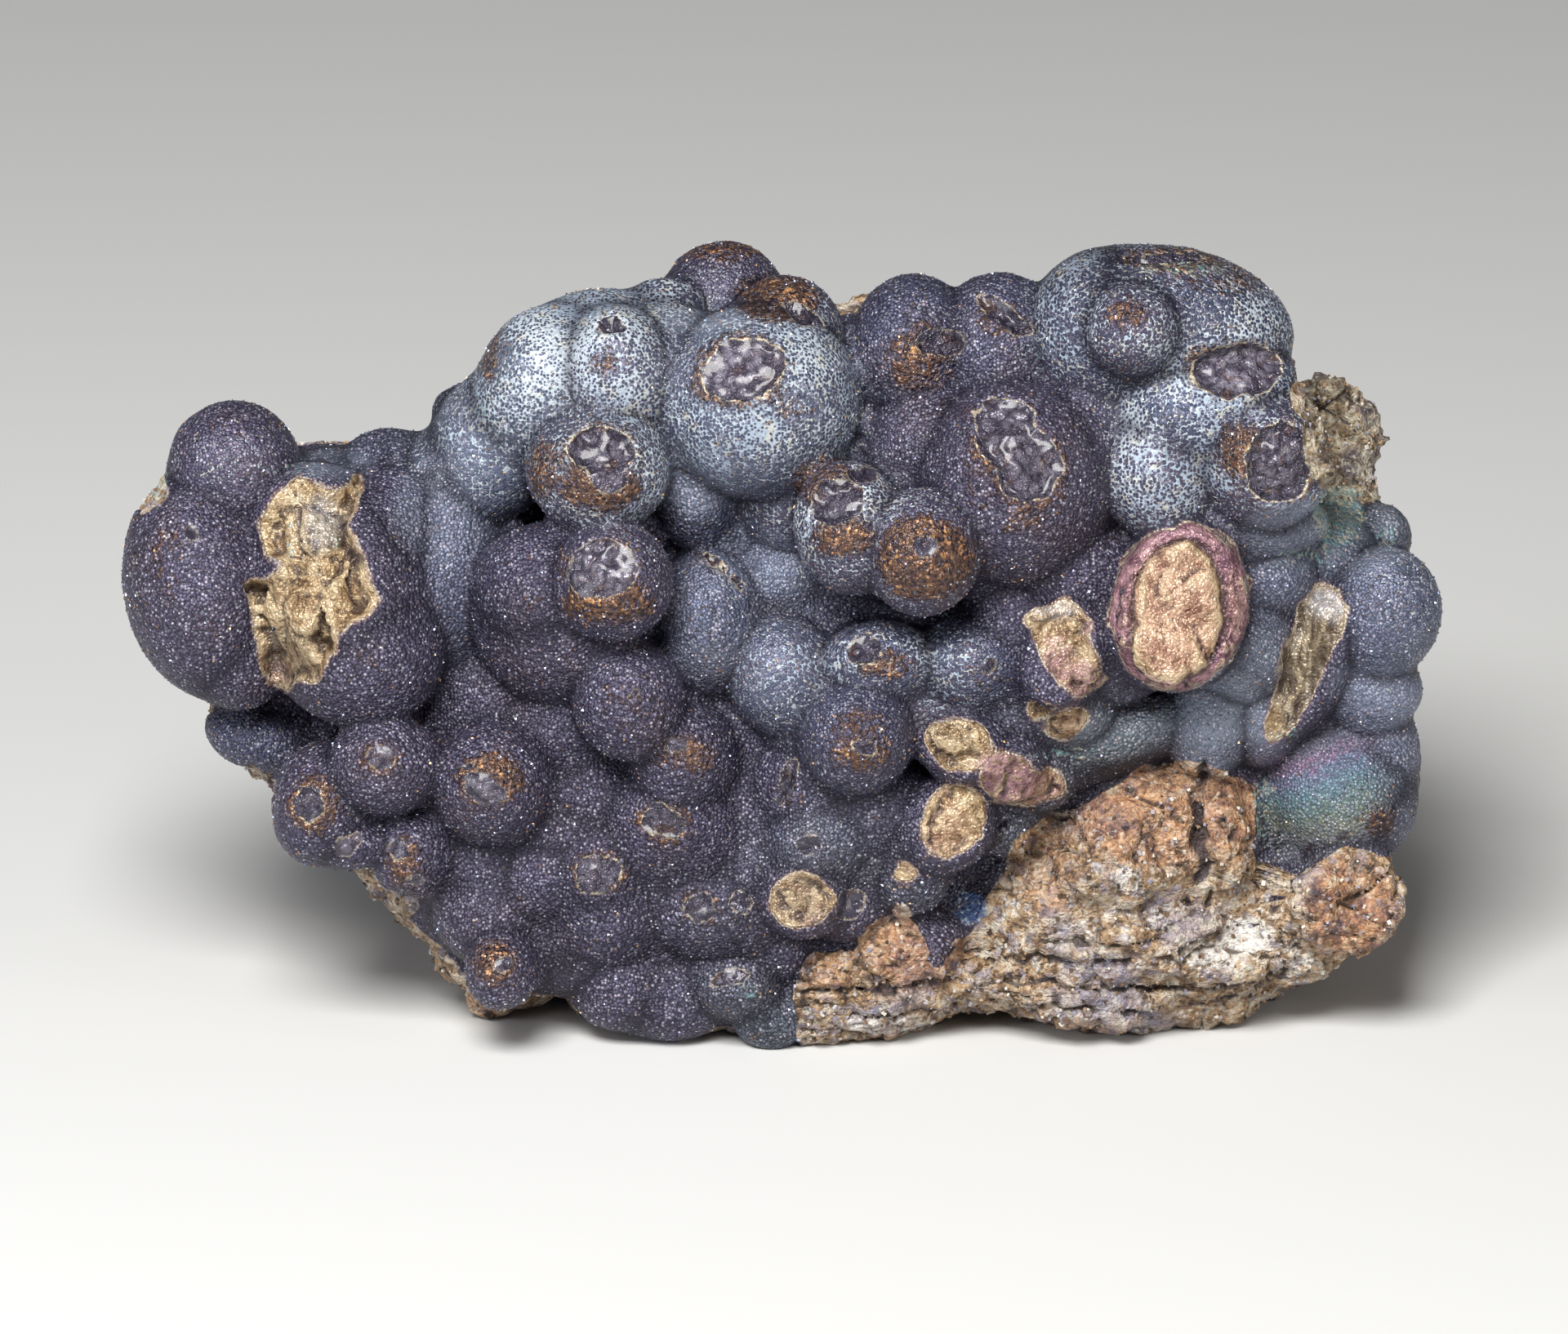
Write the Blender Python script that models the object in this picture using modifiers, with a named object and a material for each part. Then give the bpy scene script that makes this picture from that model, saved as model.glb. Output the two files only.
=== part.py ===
"""Chalcopyrite specimen, 75 mm across: rounded, tarnished lobes grown together on rough rock.

It is one solid. It stands on its broken base, and the lobed face leans back.
Run it with blender --background --python part.py, or from Blender's text editor.
"""

import math

import bmesh
import bpy
import numpy as np
from mathutils import Matrix, Vector, noise

NAME = "chalcopyrite_mass"

# Every list below is in millimetres, on the leaning face: across to the right, up along
# the face from the foot of the base, and out towards the viewer.
MM = 0.001
LEAN = math.radians(20.0)  # how far the lobed face leans back
BACK = 25.0  # the broken back, behind the foot of the face
MIDDLE = (0.0, 11.8)  # the point on the ground that becomes the origin: right, back

ROOT = 2.2  # a lobe is this much longer behind its middle than in front, as a column that grew outwards
REMESH = 0.55  # cell of the mesh that fuses the lobes
TRIANGLES = 8600  # what the finished solid is thinned to
ROCK_LUMPS = ((0.13, 1.5), (0.34, 0.8), (0.8, 0.35))  # bumps of broken rock: how many per mm, height
SKIN_LUMPS = (0.35, 0.12)  # the gentle unevenness of the tarnished skin
SKIN_BACK = -2.5  # behind this the surface is bare rock
SKIN_FADE = 2.0

# name: across, up, front, half width, half height, turn in degrees (anticlockwise)
LOBES = {
    # left cluster
    "left_crown": (-31.2, 33.4, 6.5, 3.8, 3.8, 0),
    "left_cheek": (-33.2, 26.7, 8.0, 4.3, 6.4, 9),
    "left_cheek_foot": (-30.9, 22.3, 6.0, 2.8, 2.7, 0),
    "scar_lobe_top": (-26.7, 30.2, 7.8, 3.5, 3.4, 0),
    "scar_lobe": (-25.3, 26.0, 9.6, 5.0, 6.3, 0),
    "scar_lobe_foot": (-24.0, 22.8, 9.2, 4.7, 4.1, 0),
    "scar_lobe_side": (-22.9, 28.6, 7.6, 3.0, 4.6, -10),
    "left_web": (-25.6, 32.8, 3.0, 2.3, 1.7, 0),
    "left_shoulder": (-22.4, 32.5, 4.2, 3.1, 3.2, 0),
    "left_smooth": (-19.2, 28.0, 6.4, 3.5, 6.6, 0),
    "left_smooth_top": (-18.4, 32.9, 5.4, 3.0, 3.2, 0),
    "left_ledge": (-30.0, 18.0, 1.4, 3.1, 1.9, -18),
    # crown, from left to right
    "crown_knob": (-18.7, 36.7, 2.0, 1.2, 1.2, 0),
    "pale_skirt": (-16.4, 34.6, 6.8, 3.4, 4.2, 0),
    "pale_dome": (-13.6, 38.1, 9.0, 3.7, 4.5, -18),
    "pale_dome_back": (-10.3, 40.7, 6.5, 3.8, 2.9, 0),
    "pitted_dome": (-9.4, 38.8, 10.0, 2.9, 3.6, 0),
    "crater_dome": (-10.4, 33.1, 11.8, 4.0, 3.5, 0),
    "crown_saddle": (-6.4, 38.6, 8.2, 3.4, 4.0, 0),
    "rear_knob": (-3.3, 42.9, 3.5, 3.6, 3.5, 0),
    "rear_knob_side": (-6.6, 42.5, 4.5, 2.3, 1.7, 0),
    "window_dome": (-1.2, 37.1, 11.5, 5.6, 5.5, 0),
    "window_dome_back": (0.2, 40.8, 8.0, 3.3, 3.5, 0),
    "twin_top_left": (7.5, 40.0, 8.0, 3.7, 4.4, 0),
    "twin_top_right": (12.4, 40.2, 8.3, 3.7, 4.3, 0),
    "belly_dome": (13.1, 32.5, 12.5, 5.4, 5.8, 8),
    "belly_dome_neck": (8.9, 34.6, 9.0, 4.2, 3.7, 0),
    "belly_dome_side": (16.7, 33.9, 9.8, 2.9, 5.5, -8),
    "belly_dome_foot": (16.6, 27.6, 8.6, 3.4, 3.0, 0),
    "belly_dome_root": (10.8, 29.6, 9.4, 3.2, 3.6, 0),
    "right_crown": (21.7, 41.4, 11.0, 7.4, 4.6, -8),
    "right_crown_left": (18.2, 41.3, 10.5, 4.0, 4.3, 0),
    "nipple": (19.8, 41.1, 13.0, 2.4, 2.4, 0),
    "right_crown_lower": (24.2, 36.7, 11.0, 5.5, 3.6, 12),
    "right_eye": (27.5, 33.8, 11.8, 3.7, 3.9, 0),
    "right_frost": (21.3, 33.0, 10.6, 3.1, 3.5, 0),
    "right_saddle": (25.1, 30.2, 8.4, 6.0, 2.4, 0),
    # granular lumps that stand behind the crown, right
    "gravel_lump": (32.7, 35.3, -2.6, 1.9, 2.6, 0),
    "gravel_lump_small": (30.6, 37.1, -2.4, 1.4, 1.3, 0),
    "gravel_lump_foot": (32.9, 32.4, -1.6, 1.6, 1.8, 0),
    # right column
    "right_step": (34.4, 29.5, 1.0, 1.6, 1.9, 0),
    "right_saddle_low": (30.9, 28.4, 4.0, 2.9, 2.4, 0),
    "right_cheek": (34.3, 25.2, 6.0, 3.3, 3.7, -5),
    "right_chin": (34.0, 20.7, 3.6, 2.6, 2.1, 0),
    "rainbow_dome": (31.9, 14.9, 2.6, 4.3, 4.3, 0),
    "rainbow_side_top": (34.6, 17.4, 1.6, 1.9, 2.3, 0),
    "rainbow_side_low": (34.3, 13.8, 1.6, 1.8, 2.3, 0),
    "behind_disc_top": (27.5, 27.2, 6.4, 2.7, 2.4, 0),
    "behind_disc": (26.2, 23.5, 6.6, 2.9, 3.1, 0),
    "disc_root": (19.2, 24.4, 8.0, 3.0, 4.2, 0),
    "ledge_roll": (19.0, 18.0, 4.4, 5.1, 1.6, 20),
    "ledge_roll_low": (18.0, 16.8, 3.4, 4.6, 1.1, 22),
    "grey_knuckle": (24.3, 18.9, 4.6, 2.1, 3.1, 0),
    "grey_knuckle_side": (27.4, 19.1, 3.8, 1.6, 2.4, 0),
    # middle
    "twin_eye_left": (3.8, 29.9, 12.6, 3.1, 3.8, 10),
    "twin_eye_right": (7.9, 28.5, 13.6, 3.3, 3.6, 0),
    "twin_eye_root": (5.9, 30.2, 8.8, 5.0, 4.3, 0),
    "under_crown": (-5.0, 32.0, 6.6, 2.5, 3.2, 0),
    "under_crown_right": (0.6, 32.1, 7.0, 3.2, 3.6, 0),
    "bluish_slope": (-0.1, 27.2, 5.2, 3.5, 3.4, 0),
    "bluish_slope_top": (-2.7, 29.6, 4.6, 2.3, 2.0, 0),
    "hooded_lobe_root": (-12.7, 25.2, 9.0, 4.9, 5.1, 0),
    "hooded_lobe_step": (-13.6, 26.6, 9.8, 3.6, 3.5, 0),
    "hooded_eye": (-9.5, 26.9, 12.4, 3.4, 3.4, 0),
    "slit_cone": (-4.2, 24.6, 7.2, 3.1, 4.1, 0),
    "plum": (-8.7, 20.2, 9.2, 3.1, 3.4, 0),
    "mid_left": (0.0, 21.7, 7.4, 3.1, 3.3, 0),
    "mid_pit": (5.6, 22.3, 8.6, 3.2, 2.4, 0),
    "mid_right": (10.8, 22.3, 8.2, 3.3, 2.6, 0),
    "mid_right_root": (13.2, 24.6, 7.6, 3.0, 2.6, 0),
    "berry": (4.3, 18.1, 9.8, 3.0, 3.1, 0),
    "berry_root": (2.5, 19.1, 6.0, 3.2, 2.8, 0),
    "mid_band": (7.5, 19.6, 6.6, 4.2, 2.2, 0),
    # violet field, lower left
    "field_a": (-16.9, 20.6, 4.0, 2.5, 2.7, 0),
    "field_b": (-18.8, 19.6, 3.2, 1.8, 2.2, 0),
    "field_c": (-12.6, 18.9, 4.8, 3.2, 3.0, -15),
    "berry_left": (-16.5, 15.4, 7.6, 3.2, 3.3, 0),
    "berry_far_left": (-22.6, 16.5, 7.8, 3.1, 2.8, 0),
    "berry_low_left": (-26.2, 14.3, 6.4, 2.8, 3.6, -12),
    "berry_low_left_foot": (-24.5, 11.9, 5.4, 1.9, 1.4, 0),
    "ball": (-21.2, 11.3, 5.0, 2.1, 2.4, 0),
    "field_d": (-10.9, 15.2, 3.6, 2.7, 2.6, 0),
    "field_e": (-12.6, 12.9, 3.2, 2.4, 2.1, 0),
    "field_f": (-3.4, 18.2, 4.0, 3.0, 3.4, 0),
    "field_g": (-1.5, 14.3, 3.4, 2.6, 3.7, 0),
    "bright_berry": (-5.6, 17.1, 7.0, 2.8, 2.9, 0),
    "cup_lobe": (-6.2, 13.2, 5.6, 3.3, 3.0, 0),
    "crescent_lobe": (1.3, 15.6, 5.2, 2.6, 2.6, 0),
    "crescent_lobe_low": (2.1, 12.2, 5.4, 2.5, 2.2, 0),
    "smooth_low": (5.3, 14.3, 5.0, 3.2, 3.0, 0),
    "low_hollow": (5.6, 11.2, 3.8, 2.6, 2.4, 0),
    "cup_hollow": (12.6, 18.8, 5.8, 2.8, 2.6, 0),
    "shell_hollow": (12.8, 13.4, 4.0, 2.2, 2.2, 0),
    "field_p": (-20.0, 14.3, 3.2, 2.8, 3.0, 0),
    "field_q": (-8.4, 14.2, 3.6, 2.4, 2.6, 0),
    "field_r": (-6.9, 10.3, 2.8, 2.2, 2.2, 0),
    "flower_cup": (-10.4, 10.3, 4.2, 1.9, 2.2, 0),
    "flower_cup_foot": (-10.0, 7.9, 3.6, 2.6, 2.5, 0),
    "field_h": (-13.7, 10.1, 3.4, 2.1, 2.0, 0),
    "field_i": (-17.1, 11.0, 2.8, 2.9, 2.8, 0),
    "field_j": (-16.9, 8.0, 3.0, 2.8, 2.6, 0),
    "toe": (-16.0, 4.6, 4.6, 2.0, 2.1, 0),
    "field_k": (-14.2, 6.6, 1.6, 3.2, 2.8, 0),
    "field_l": (-11.9, 5.7, 1.4, 3.2, 2.1, 0),
    "double_cup": (-4.1, 8.0, 3.6, 3.1, 2.3, 0),
    "double_cup_side": (-1.9, 7.8, 3.2, 2.1, 2.2, 0),
    "hem_a": (-9.2, 3.6, 1.4, 2.8, 2.4, 0),
    "hem_b": (-6.3, 3.0, 1.2, 3.3, 2.5, 0),
    "oyster": (-2.6, 3.8, 2.4, 2.4, 1.8, 0),
    "blue_toe": (-0.6, 2.0, 1.0, 2.2, 1.9, 0),
    "field_m": (-0.1, 5.9, 2.0, 1.9, 1.6, 0),
    "field_n": (-4.5, 10.8, 2.8, 3.2, 2.6, 0),
    "field_o": (-0.8, 10.8, 3.4, 2.2, 2.1, 0),
    # low middle
    "brass_cup_side": (3.8, 8.4, 3.6, 2.1, 2.0, 0),
    "thimble": (7.6, 10.0, 4.6, 1.9, 1.9, 0),
    "gold_shell_blue": (7.6, 12.5, 4.8, 2.0, 1.6, 0),
    "chips": (14.6, 15.6, 4.6, 2.1, 1.8, 0),
    "cup_pair": (15.9, 19.8, 6.4, 2.7, 1.9, -10),
    # broken base
    "mound_left": (2.5, 4.5, 1.6, 1.9, 1.9, 0),
    "mound": (7.6, 5.8, 2.6, 3.5, 2.9, 0),
    "slab_ridge": (20.3, 11.9, 4.0, 5.6, 4.2, 25),
    "slab_rib": (25.1, 12.4, 3.6, 2.2, 3.7, 0),
}

# Lobes whose front has snapped off: the same six values, then how deep the break goes and
# the way it faces, as across and up for each mm out.
SNAPPED = {
    "big_disc": ((22.5, 25.4, 12.4, 3.9, 4.8, -12), 2.0, (0.10, 0.05)),
    "petal_disc": ((16.0, 22.8, 10.2, 2.3, 3.2, -20), 1.2, (-0.15, -0.10)),
    "splinter": ((30.3, 22.8, 5.8, 2.1, 4.6, -22), 1.4, (-0.45, -0.20)),
    "butter_shell": ((10.2, 17.4, 8.2, 2.4, 1.9, -15), 0.7, (0.0, -0.15)),
    "wine_shell": ((12.9, 16.1, 7.4, 1.8, 1.8, 0), 0.6, (0.1, -0.2)),
    "gold_shell": ((9.6, 13.0, 6.8, 2.4, 2.6, -20), 0.7, (0.15, -0.10)),
    "brass_cup": ((1.2, 8.7, 5.4, 2.2, 2.1, 0), 0.6, (0.0, 0.0)),
    "corner_lobe": ((32.5, 8.6, 3.6, 3.2, 3.3, 0), 1.2, (0.10, 0.05)),
}

# Broad swellings that carry the lobes: across, up, front, half width, half height, depth
SWELLS = {
    "under_the_crown": (4.0, 35.4, 5.0, 24.0, 7.2, 9.0),
    "under_the_left_cluster": (-26.5, 27.0, 3.8, 8.6, 8.0, 7.0),
    "under_the_middle": (1.0, 24.5, 4.8, 18.0, 8.0, 8.0),
    "under_the_right_column": (27.5, 25.0, 3.4, 9.0, 10.5, 8.0),
    "under_the_violet_field": (-9.0, 12.0, 2.6, 15.0, 8.6, 6.0),
    "under_the_broken_base": (19.0, 8.0, 2.2, 14.0, 7.2, 8.0),
    "low_ledge": (12.0, 3.4, 1.4, 12.5, 1.7, 4.0),
    "right_ledge": (26.5, 6.0, 1.0, 7.0, 2.2, 5.0),
}

# The edge of the rock that everything grew on, anticlockwise from the lower left
ROCK_EDGE = (
    (-32.9, 20.0), (-32.2, 17.5), (-30.4, 15.9), (-29.0, 13.1), (-26.9, 10.7), (-23.0, 9.2),
    (-20.2, 6.2), (-19.1, 4.5), (-17.0, 2.6), (-14.9, 2.6), (-14.1, 3.4), (-12.4, 3.4),
    (-11.7, 2.8), (-10.3, 1.3), (-9.1, 0.5), (-7.3, 0.3), (-2.6, 0.8), (0.1, 0.0),
    (6.6, 1.0), (13.6, 1.6), (19.6, 1.5), (23.8, 2.5), (26.5, 3.3), (32.1, 3.7),
    (33.9, 5.7), (34.9, 7.5), (35.4, 9.4), (34.4, 13.6), (35.3, 18.2), (35.8, 22.8),
    (35.3, 27.5), (33.5, 32.1), (31.6, 33.9), (29.8, 37.6), (27.9, 41.5), (25.1, 43.6),
    (20.5, 44.6), (16.3, 44.0), (15.0, 41.3), (13.1, 42.3), (8.0, 42.7), (4.8, 41.3),
    (2.5, 42.3), (-2.6, 44.0), (-5.9, 43.6), (-9.1, 42.0), (-12.8, 41.0), (-16.1, 38.4),
    (-18.4, 35.6), (-20.2, 34.0), (-24.4, 33.2), (-28.1, 33.6), (-30.4, 35.0), (-33.7, 33.6),
    (-35.5, 31.0), (-36.0, 27.5), (-34.8, 22.8),
)
# The rock in slices, front to back: how far out, and its outline's size about ROCK_HEART
ROCK_SLICES = ((0.4, 0.955), (-1.2, 0.99), (-4.5, 0.985), (-10.0, 0.95), (-18.0, 0.88), (-30.0, 0.80))
ROCK_HEART = (2.0, 20.0)

# Hollows in the lobes: across, up, half width, half height, turn, depth
HOLLOWS = {
    "window_dome": (-2.4, 38.8, 2.4, 1.9, 25, 0.8),
    "pitted_dome": (-9.8, 41.4, 1.0, 0.6, 0, 0.7),
    "crater_dome": (-10.0, 34.6, 2.0, 1.3, 0, 0.9),
    "twin_top_left": (8.7, 40.5, 2.1, 1.0, 0, 0.8),
    "twin_top_right": (12.6, 41.7, 0.8, 2.4, 35, 0.7),
    "belly_dome": (13.6, 34.2, 2.4, 2.9, 20, 0.9),
    "right_crown_window": (26.0, 39.0, 2.7, 1.8, 8, 0.9),
    "right_eye": (28.2, 33.5, 1.9, 2.4, 0, 0.9),
    "twin_eye_left": (4.1, 31.6, 2.0, 1.2, 0, 0.8),
    "hooded_eye": (-10.0, 27.6, 2.2, 2.0, 0, 0.7),
    "slit": (-3.1, 27.5, 0.6, 1.8, 50, 0.7),
    "mid_pit": (4.8, 23.1, 0.9, 0.8, 0, 0.7),
    "flower_cup": (-10.4, 10.3, 1.4, 1.0, 20, 0.5),
    "cup_lobe": (-6.6, 13.3, 1.3, 1.0, 0, 0.5),
    "scar": (-26.6, 26.8, 2.6, 5.6, -6, 0.9),
    "brass_cup": (1.0, 8.6, 1.4, 1.3, 0, 0.5),
    "double_cup": (-4.9, 8.6, 1.2, 0.9, 0, 0.4),
}

# Where the bare, broken rock comes round to the front: across, up, half width, half height
BARE_ROCK = (
    (19.5, 7.0, 12.5, 6.2), (26.0, 8.5, 8.0, 7.5), (8.0, 3.6, 8.0, 3.4), (33.0, 7.5, 4.0, 4.8),
    (32.7, 35.2, 2.6, 3.6), (-29.5, 12.2, 3.5, 3.0),
)

FACE = Matrix(
    (
        (MM, 0.0, 0.0, -MIDDLE[0] * MM),
        (0.0, math.sin(LEAN) * MM, -math.cos(LEAN) * MM, -MIDDLE[1] * MM),
        (0.0, math.cos(LEAN) * MM, math.sin(LEAN) * MM, 0.0),
        (0.0, 0.0, 0.0, 1.0),
    )
)  # from millimetres on the leaning face to metres in the room


def clear_the_scene():
    for thing in list(bpy.data.objects):
        bpy.data.objects.remove(thing, do_unlink=True)


def new_collection(name):
    made = bpy.data.collections.new(name)
    bpy.context.scene.collection.children.link(made)
    return made


def object_from(name, mesh, collection):
    thing = bpy.data.objects.new(name, mesh)
    collection.objects.link(thing)
    return thing


def plain_mesh(thing):
    """The object's mesh with all its modifiers worked in."""
    bpy.context.view_layer.update()
    graph = bpy.context.evaluated_depsgraph_get()
    return bpy.data.meshes.new_from_object(thing.evaluated_get(graph))


def add_ball(bm, centre, radii, turn, root=1.0):
    """A squashed ball. Its half behind the middle is stretched by root."""
    made = bmesh.ops.create_icosphere(bm, subdivisions=4, radius=1.0)["verts"]
    for vert in made:
        if vert.co.z < 0.0:
            vert.co.z *= root
    place = (
        Matrix.Translation(centre)
        @ Matrix.Rotation(math.radians(turn), 4, "Z")
        @ Matrix.Diagonal((*radii, 1.0))
    )
    bmesh.ops.transform(bm, matrix=place, verts=made)


def add_lobe(bm, across, up, front, half_width, half_height, turn):
    depth = (half_width + half_height) / 2
    add_ball(bm, (across, up, front - depth), (half_width, half_height, depth), turn, ROOT)


def add_snapped_lobe(bm, lobe, break_depth, facing):
    """A lobe cut off by a plane, as a lobe of this mineral snaps, with the cut filled."""
    one = bmesh.new()
    add_lobe(one, *lobe)
    across, up, front = lobe[:3]
    cut = bmesh.ops.bisect_plane(
        one,
        geom=one.verts[:] + one.edges[:] + one.faces[:],
        plane_co=(across, up, front - break_depth),
        plane_no=Vector((*facing, 1.0)).normalized(),
        clear_outer=True,
    )
    rim = [edge for edge in cut["geom_cut"] if isinstance(edge, bmesh.types.BMEdge)]
    bmesh.ops.edgeloop_fill(one, edges=rim)
    piece = bpy.data.meshes.new("snapped")
    one.to_mesh(piece)
    one.free()
    bm.from_mesh(piece)
    bpy.data.meshes.remove(piece)


def add_rock(bm):
    """The rock that carries the lobes, drawn back slice by slice from its outline."""
    front = bm.faces.new([bm.verts.new((*point, 0.0)) for point in ROCK_EDGE])
    across, up = ROCK_HEART

    def move_to(verts, out, size):
        for vert, (x, y) in zip(verts, ROCK_EDGE):
            vert.co = (across + (x - across) * size, up + (y - up) * size, out)

    move_to(front.verts, *ROCK_SLICES[0])
    cap = front
    for out, size in ROCK_SLICES[1:]:
        made = bmesh.ops.extrude_face_region(bm, geom=[cap])["geom"]
        cap = next(item for item in made if isinstance(item, bmesh.types.BMFace))
        move_to(cap.verts, out, size)
    bmesh.ops.recalc_face_normals(bm, faces=bm.faces)


def cutter_box(name, centre, size, turn, collection):
    """A box that is taken away from the rock, in metres, turned about the vertical."""
    bm = bmesh.new()
    bmesh.ops.create_cube(bm, size=1.0)
    mesh = bpy.data.meshes.new(name)
    bm.to_mesh(mesh)
    bm.free()
    mesh.transform(Matrix.Rotation(math.radians(turn), 4, "Z") @ Matrix.Diagonal((*size, 1.0)))
    box = object_from(name, mesh, collection)
    box.location = centre
    box.hide_render = True
    box.display_type = "WIRE"
    return box


def take_away(thing, cutter):
    cut = thing.modifiers.new(cutter.name, "BOOLEAN")
    cut.operation = "DIFFERENCE"
    cut.solver = "EXACT"
    cut.object = cutter


def rock_body(parts, cutters):
    """The rock, with its back broken off upright and its left back corner broken away."""
    bm = bmesh.new()
    add_rock(bm)
    mesh = bpy.data.meshes.new("rock")
    bm.to_mesh(mesh)
    bm.free()
    mesh.transform(FACE)
    rock = object_from("rock", mesh, parts)
    behind = (BACK - MIDDLE[1]) * MM
    half = 0.05
    take_away(rock, cutter_box("back_break", (0, behind + half, 0.02), (0.2, 2 * half, 0.2), 0, cutters))
    corner = Vector((-0.034, behind - 0.002, 0.02))
    outward = Vector((-math.sin(math.radians(42)), math.cos(math.radians(42)), 0.0))
    take_away(
        rock,
        cutter_box("back_corner_break", corner + outward * (half - 0.004), (0.2, 2 * half, 0.2), 42, cutters),
    )
    solid = plain_mesh(rock)
    bpy.data.objects.remove(rock, do_unlink=True)
    return solid


def drop_sealed_pockets(mesh):
    """Keeps the outer skin, and drops the skins of small pockets sealed in between lobes."""
    bm = bmesh.new()
    bm.from_mesh(mesh)
    start = min(bm.verts, key=lambda vert: vert.co.z)
    outer = {start}
    waiting = [start]
    while waiting:
        here = waiting.pop()
        for edge in here.link_edges:
            beyond = edge.other_vert(here)
            if beyond not in outer:
                outer.add(beyond)
                waiting.append(beyond)
    bmesh.ops.delete(bm, geom=[vert for vert in bm.verts if vert not in outer], context="VERTS")
    bm.to_mesh(mesh)
    bm.free()


def fused_mass(rock, collection):
    """Rock, swellings and lobes in one mesh, then fused into one skin by a voxel remesh."""
    bm = bmesh.new()
    for lobe in LOBES.values():
        add_lobe(bm, *lobe)
    for lobe, break_depth, facing in SNAPPED.values():
        add_snapped_lobe(bm, lobe, break_depth, facing)
    for across, up, front, half_width, half_height, depth in SWELLS.values():
        add_ball(bm, (across, up, front - depth), (half_width, half_height, depth), 0)
    bmesh.ops.transform(bm, matrix=FACE, verts=bm.verts)
    bm.from_mesh(rock)
    mesh = bpy.data.meshes.new(NAME)
    bm.to_mesh(mesh)
    bm.free()
    mass = object_from(NAME, mesh, collection)
    remesh = mass.modifiers.new("fuse", "REMESH")
    remesh.mode = "VOXEL"
    remesh.voxel_size = REMESH * MM
    fused = plain_mesh(mass)
    drop_sealed_pockets(fused)
    mass.modifiers.clear()
    mass.data = fused
    return mass


def inside(across, up, patch, soft):
    """1 inside an ellipse on the face, falling to 0 outside it."""
    middle_across, middle_up, half_width, half_height = patch
    away = np.hypot((across - middle_across) / half_width, (up - middle_up) / half_height)
    return np.clip((1.0 + soft - away) / (2 * soft), 0.0, 1.0)


def break_the_surface(mesh):
    """Hollows in the lobes, and broken lumps where the rock is bare."""
    mesh.transform(FACE.inverted())
    count = len(mesh.vertices)
    points = np.empty(count * 3)
    mesh.vertices.foreach_get("co", points)
    points = points.reshape(-1, 3)
    normals = np.empty(count * 3)
    mesh.vertex_normals.foreach_get("vector", normals)
    normals = normals.reshape(-1, 3)
    across, up, out = points.T

    dent = np.zeros(count)
    for middle_across, middle_up, half_width, half_height, turn, depth in HOLLOWS.values():
        angle = math.radians(turn)
        x = (across - middle_across) * math.cos(angle) + (up - middle_up) * math.sin(angle)
        y = (up - middle_up) * math.cos(angle) - (across - middle_across) * math.sin(angle)
        near = 1.0 - (x / half_width) ** 2 - (y / half_height) ** 2
        dent = np.maximum(dent, depth * np.sqrt(np.clip(near, 0.0, 1.0)))
    faces_out = np.clip((normals[:, 2] - 0.1) / 0.3, 0.0, 1.0)

    bare = np.clip((SKIN_BACK - out) / SKIN_FADE, 0.0, 1.0)
    for patch in BARE_ROCK:
        bare = np.maximum(bare, inside(across, up, patch, 0.25))

    lift = np.empty(count)
    skin_scale, skin_height = SKIN_LUMPS
    for index, point in enumerate(points):
        here = Vector(point)
        skin = skin_height * noise.noise(here * skin_scale)
        rock = sum(height * noise.noise(here * scale) for scale, height in ROCK_LUMPS)
        lift[index] = skin * (1.0 - bare[index]) + rock * bare[index]

    points += normals * lift[:, None]
    points[:, 2] -= dent * faces_out
    mesh.vertices.foreach_set("co", points.ravel())
    mesh.transform(FACE)


def mineral_material():
    made = bpy.data.materials.new("tarnished_chalcopyrite")
    made.use_nodes = True
    shader = made.node_tree.nodes["Principled BSDF"]
    shader.inputs["Base Color"].default_value = (0.085, 0.080, 0.125, 1.0)
    shader.inputs["Roughness"].default_value = 0.45
    shader.inputs["Metallic"].default_value = 0.35
    return made


def main():
    clear_the_scene()
    parts = new_collection("chalcopyrite")
    cutters = new_collection("cutters")
    mass = fused_mass(rock_body(parts, cutters), parts)
    break_the_surface(mass.data)

    thin = mass.modifiers.new("thin_out", "DECIMATE")
    thin.ratio = TRIANGLES / (2 * len(mass.data.polygons))
    thin.use_collapse_triangulate = True
    ground = cutter_box("ground", (0.0, 0.0, -0.05), (0.3, 0.3, 0.1), 0, cutters)
    take_away(mass, ground)

    mass.data.materials.clear()
    mass.data.materials.append(mineral_material())
    mass.data.shade_smooth()
    mass.data.set_sharp_from_angle(angle=math.radians(35))


main()
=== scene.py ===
# %% [markdown]
# # A chalcopyrite specimen, lobe by lobe
# The real thing is one stone, 75 mm across: rounded lobes that grew side by side on rough rock, under a
# thin tarnish of violet and steel blue. Where a lobe has snapped off, the brassy inside shows. We start
# from the measured solid, which fixes the size and the place, and only dress it here.

# %% Load the measured solid
import itertools
import math

import bmesh
import bpy
import numpy as np
from mathutils import Matrix, Vector


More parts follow.
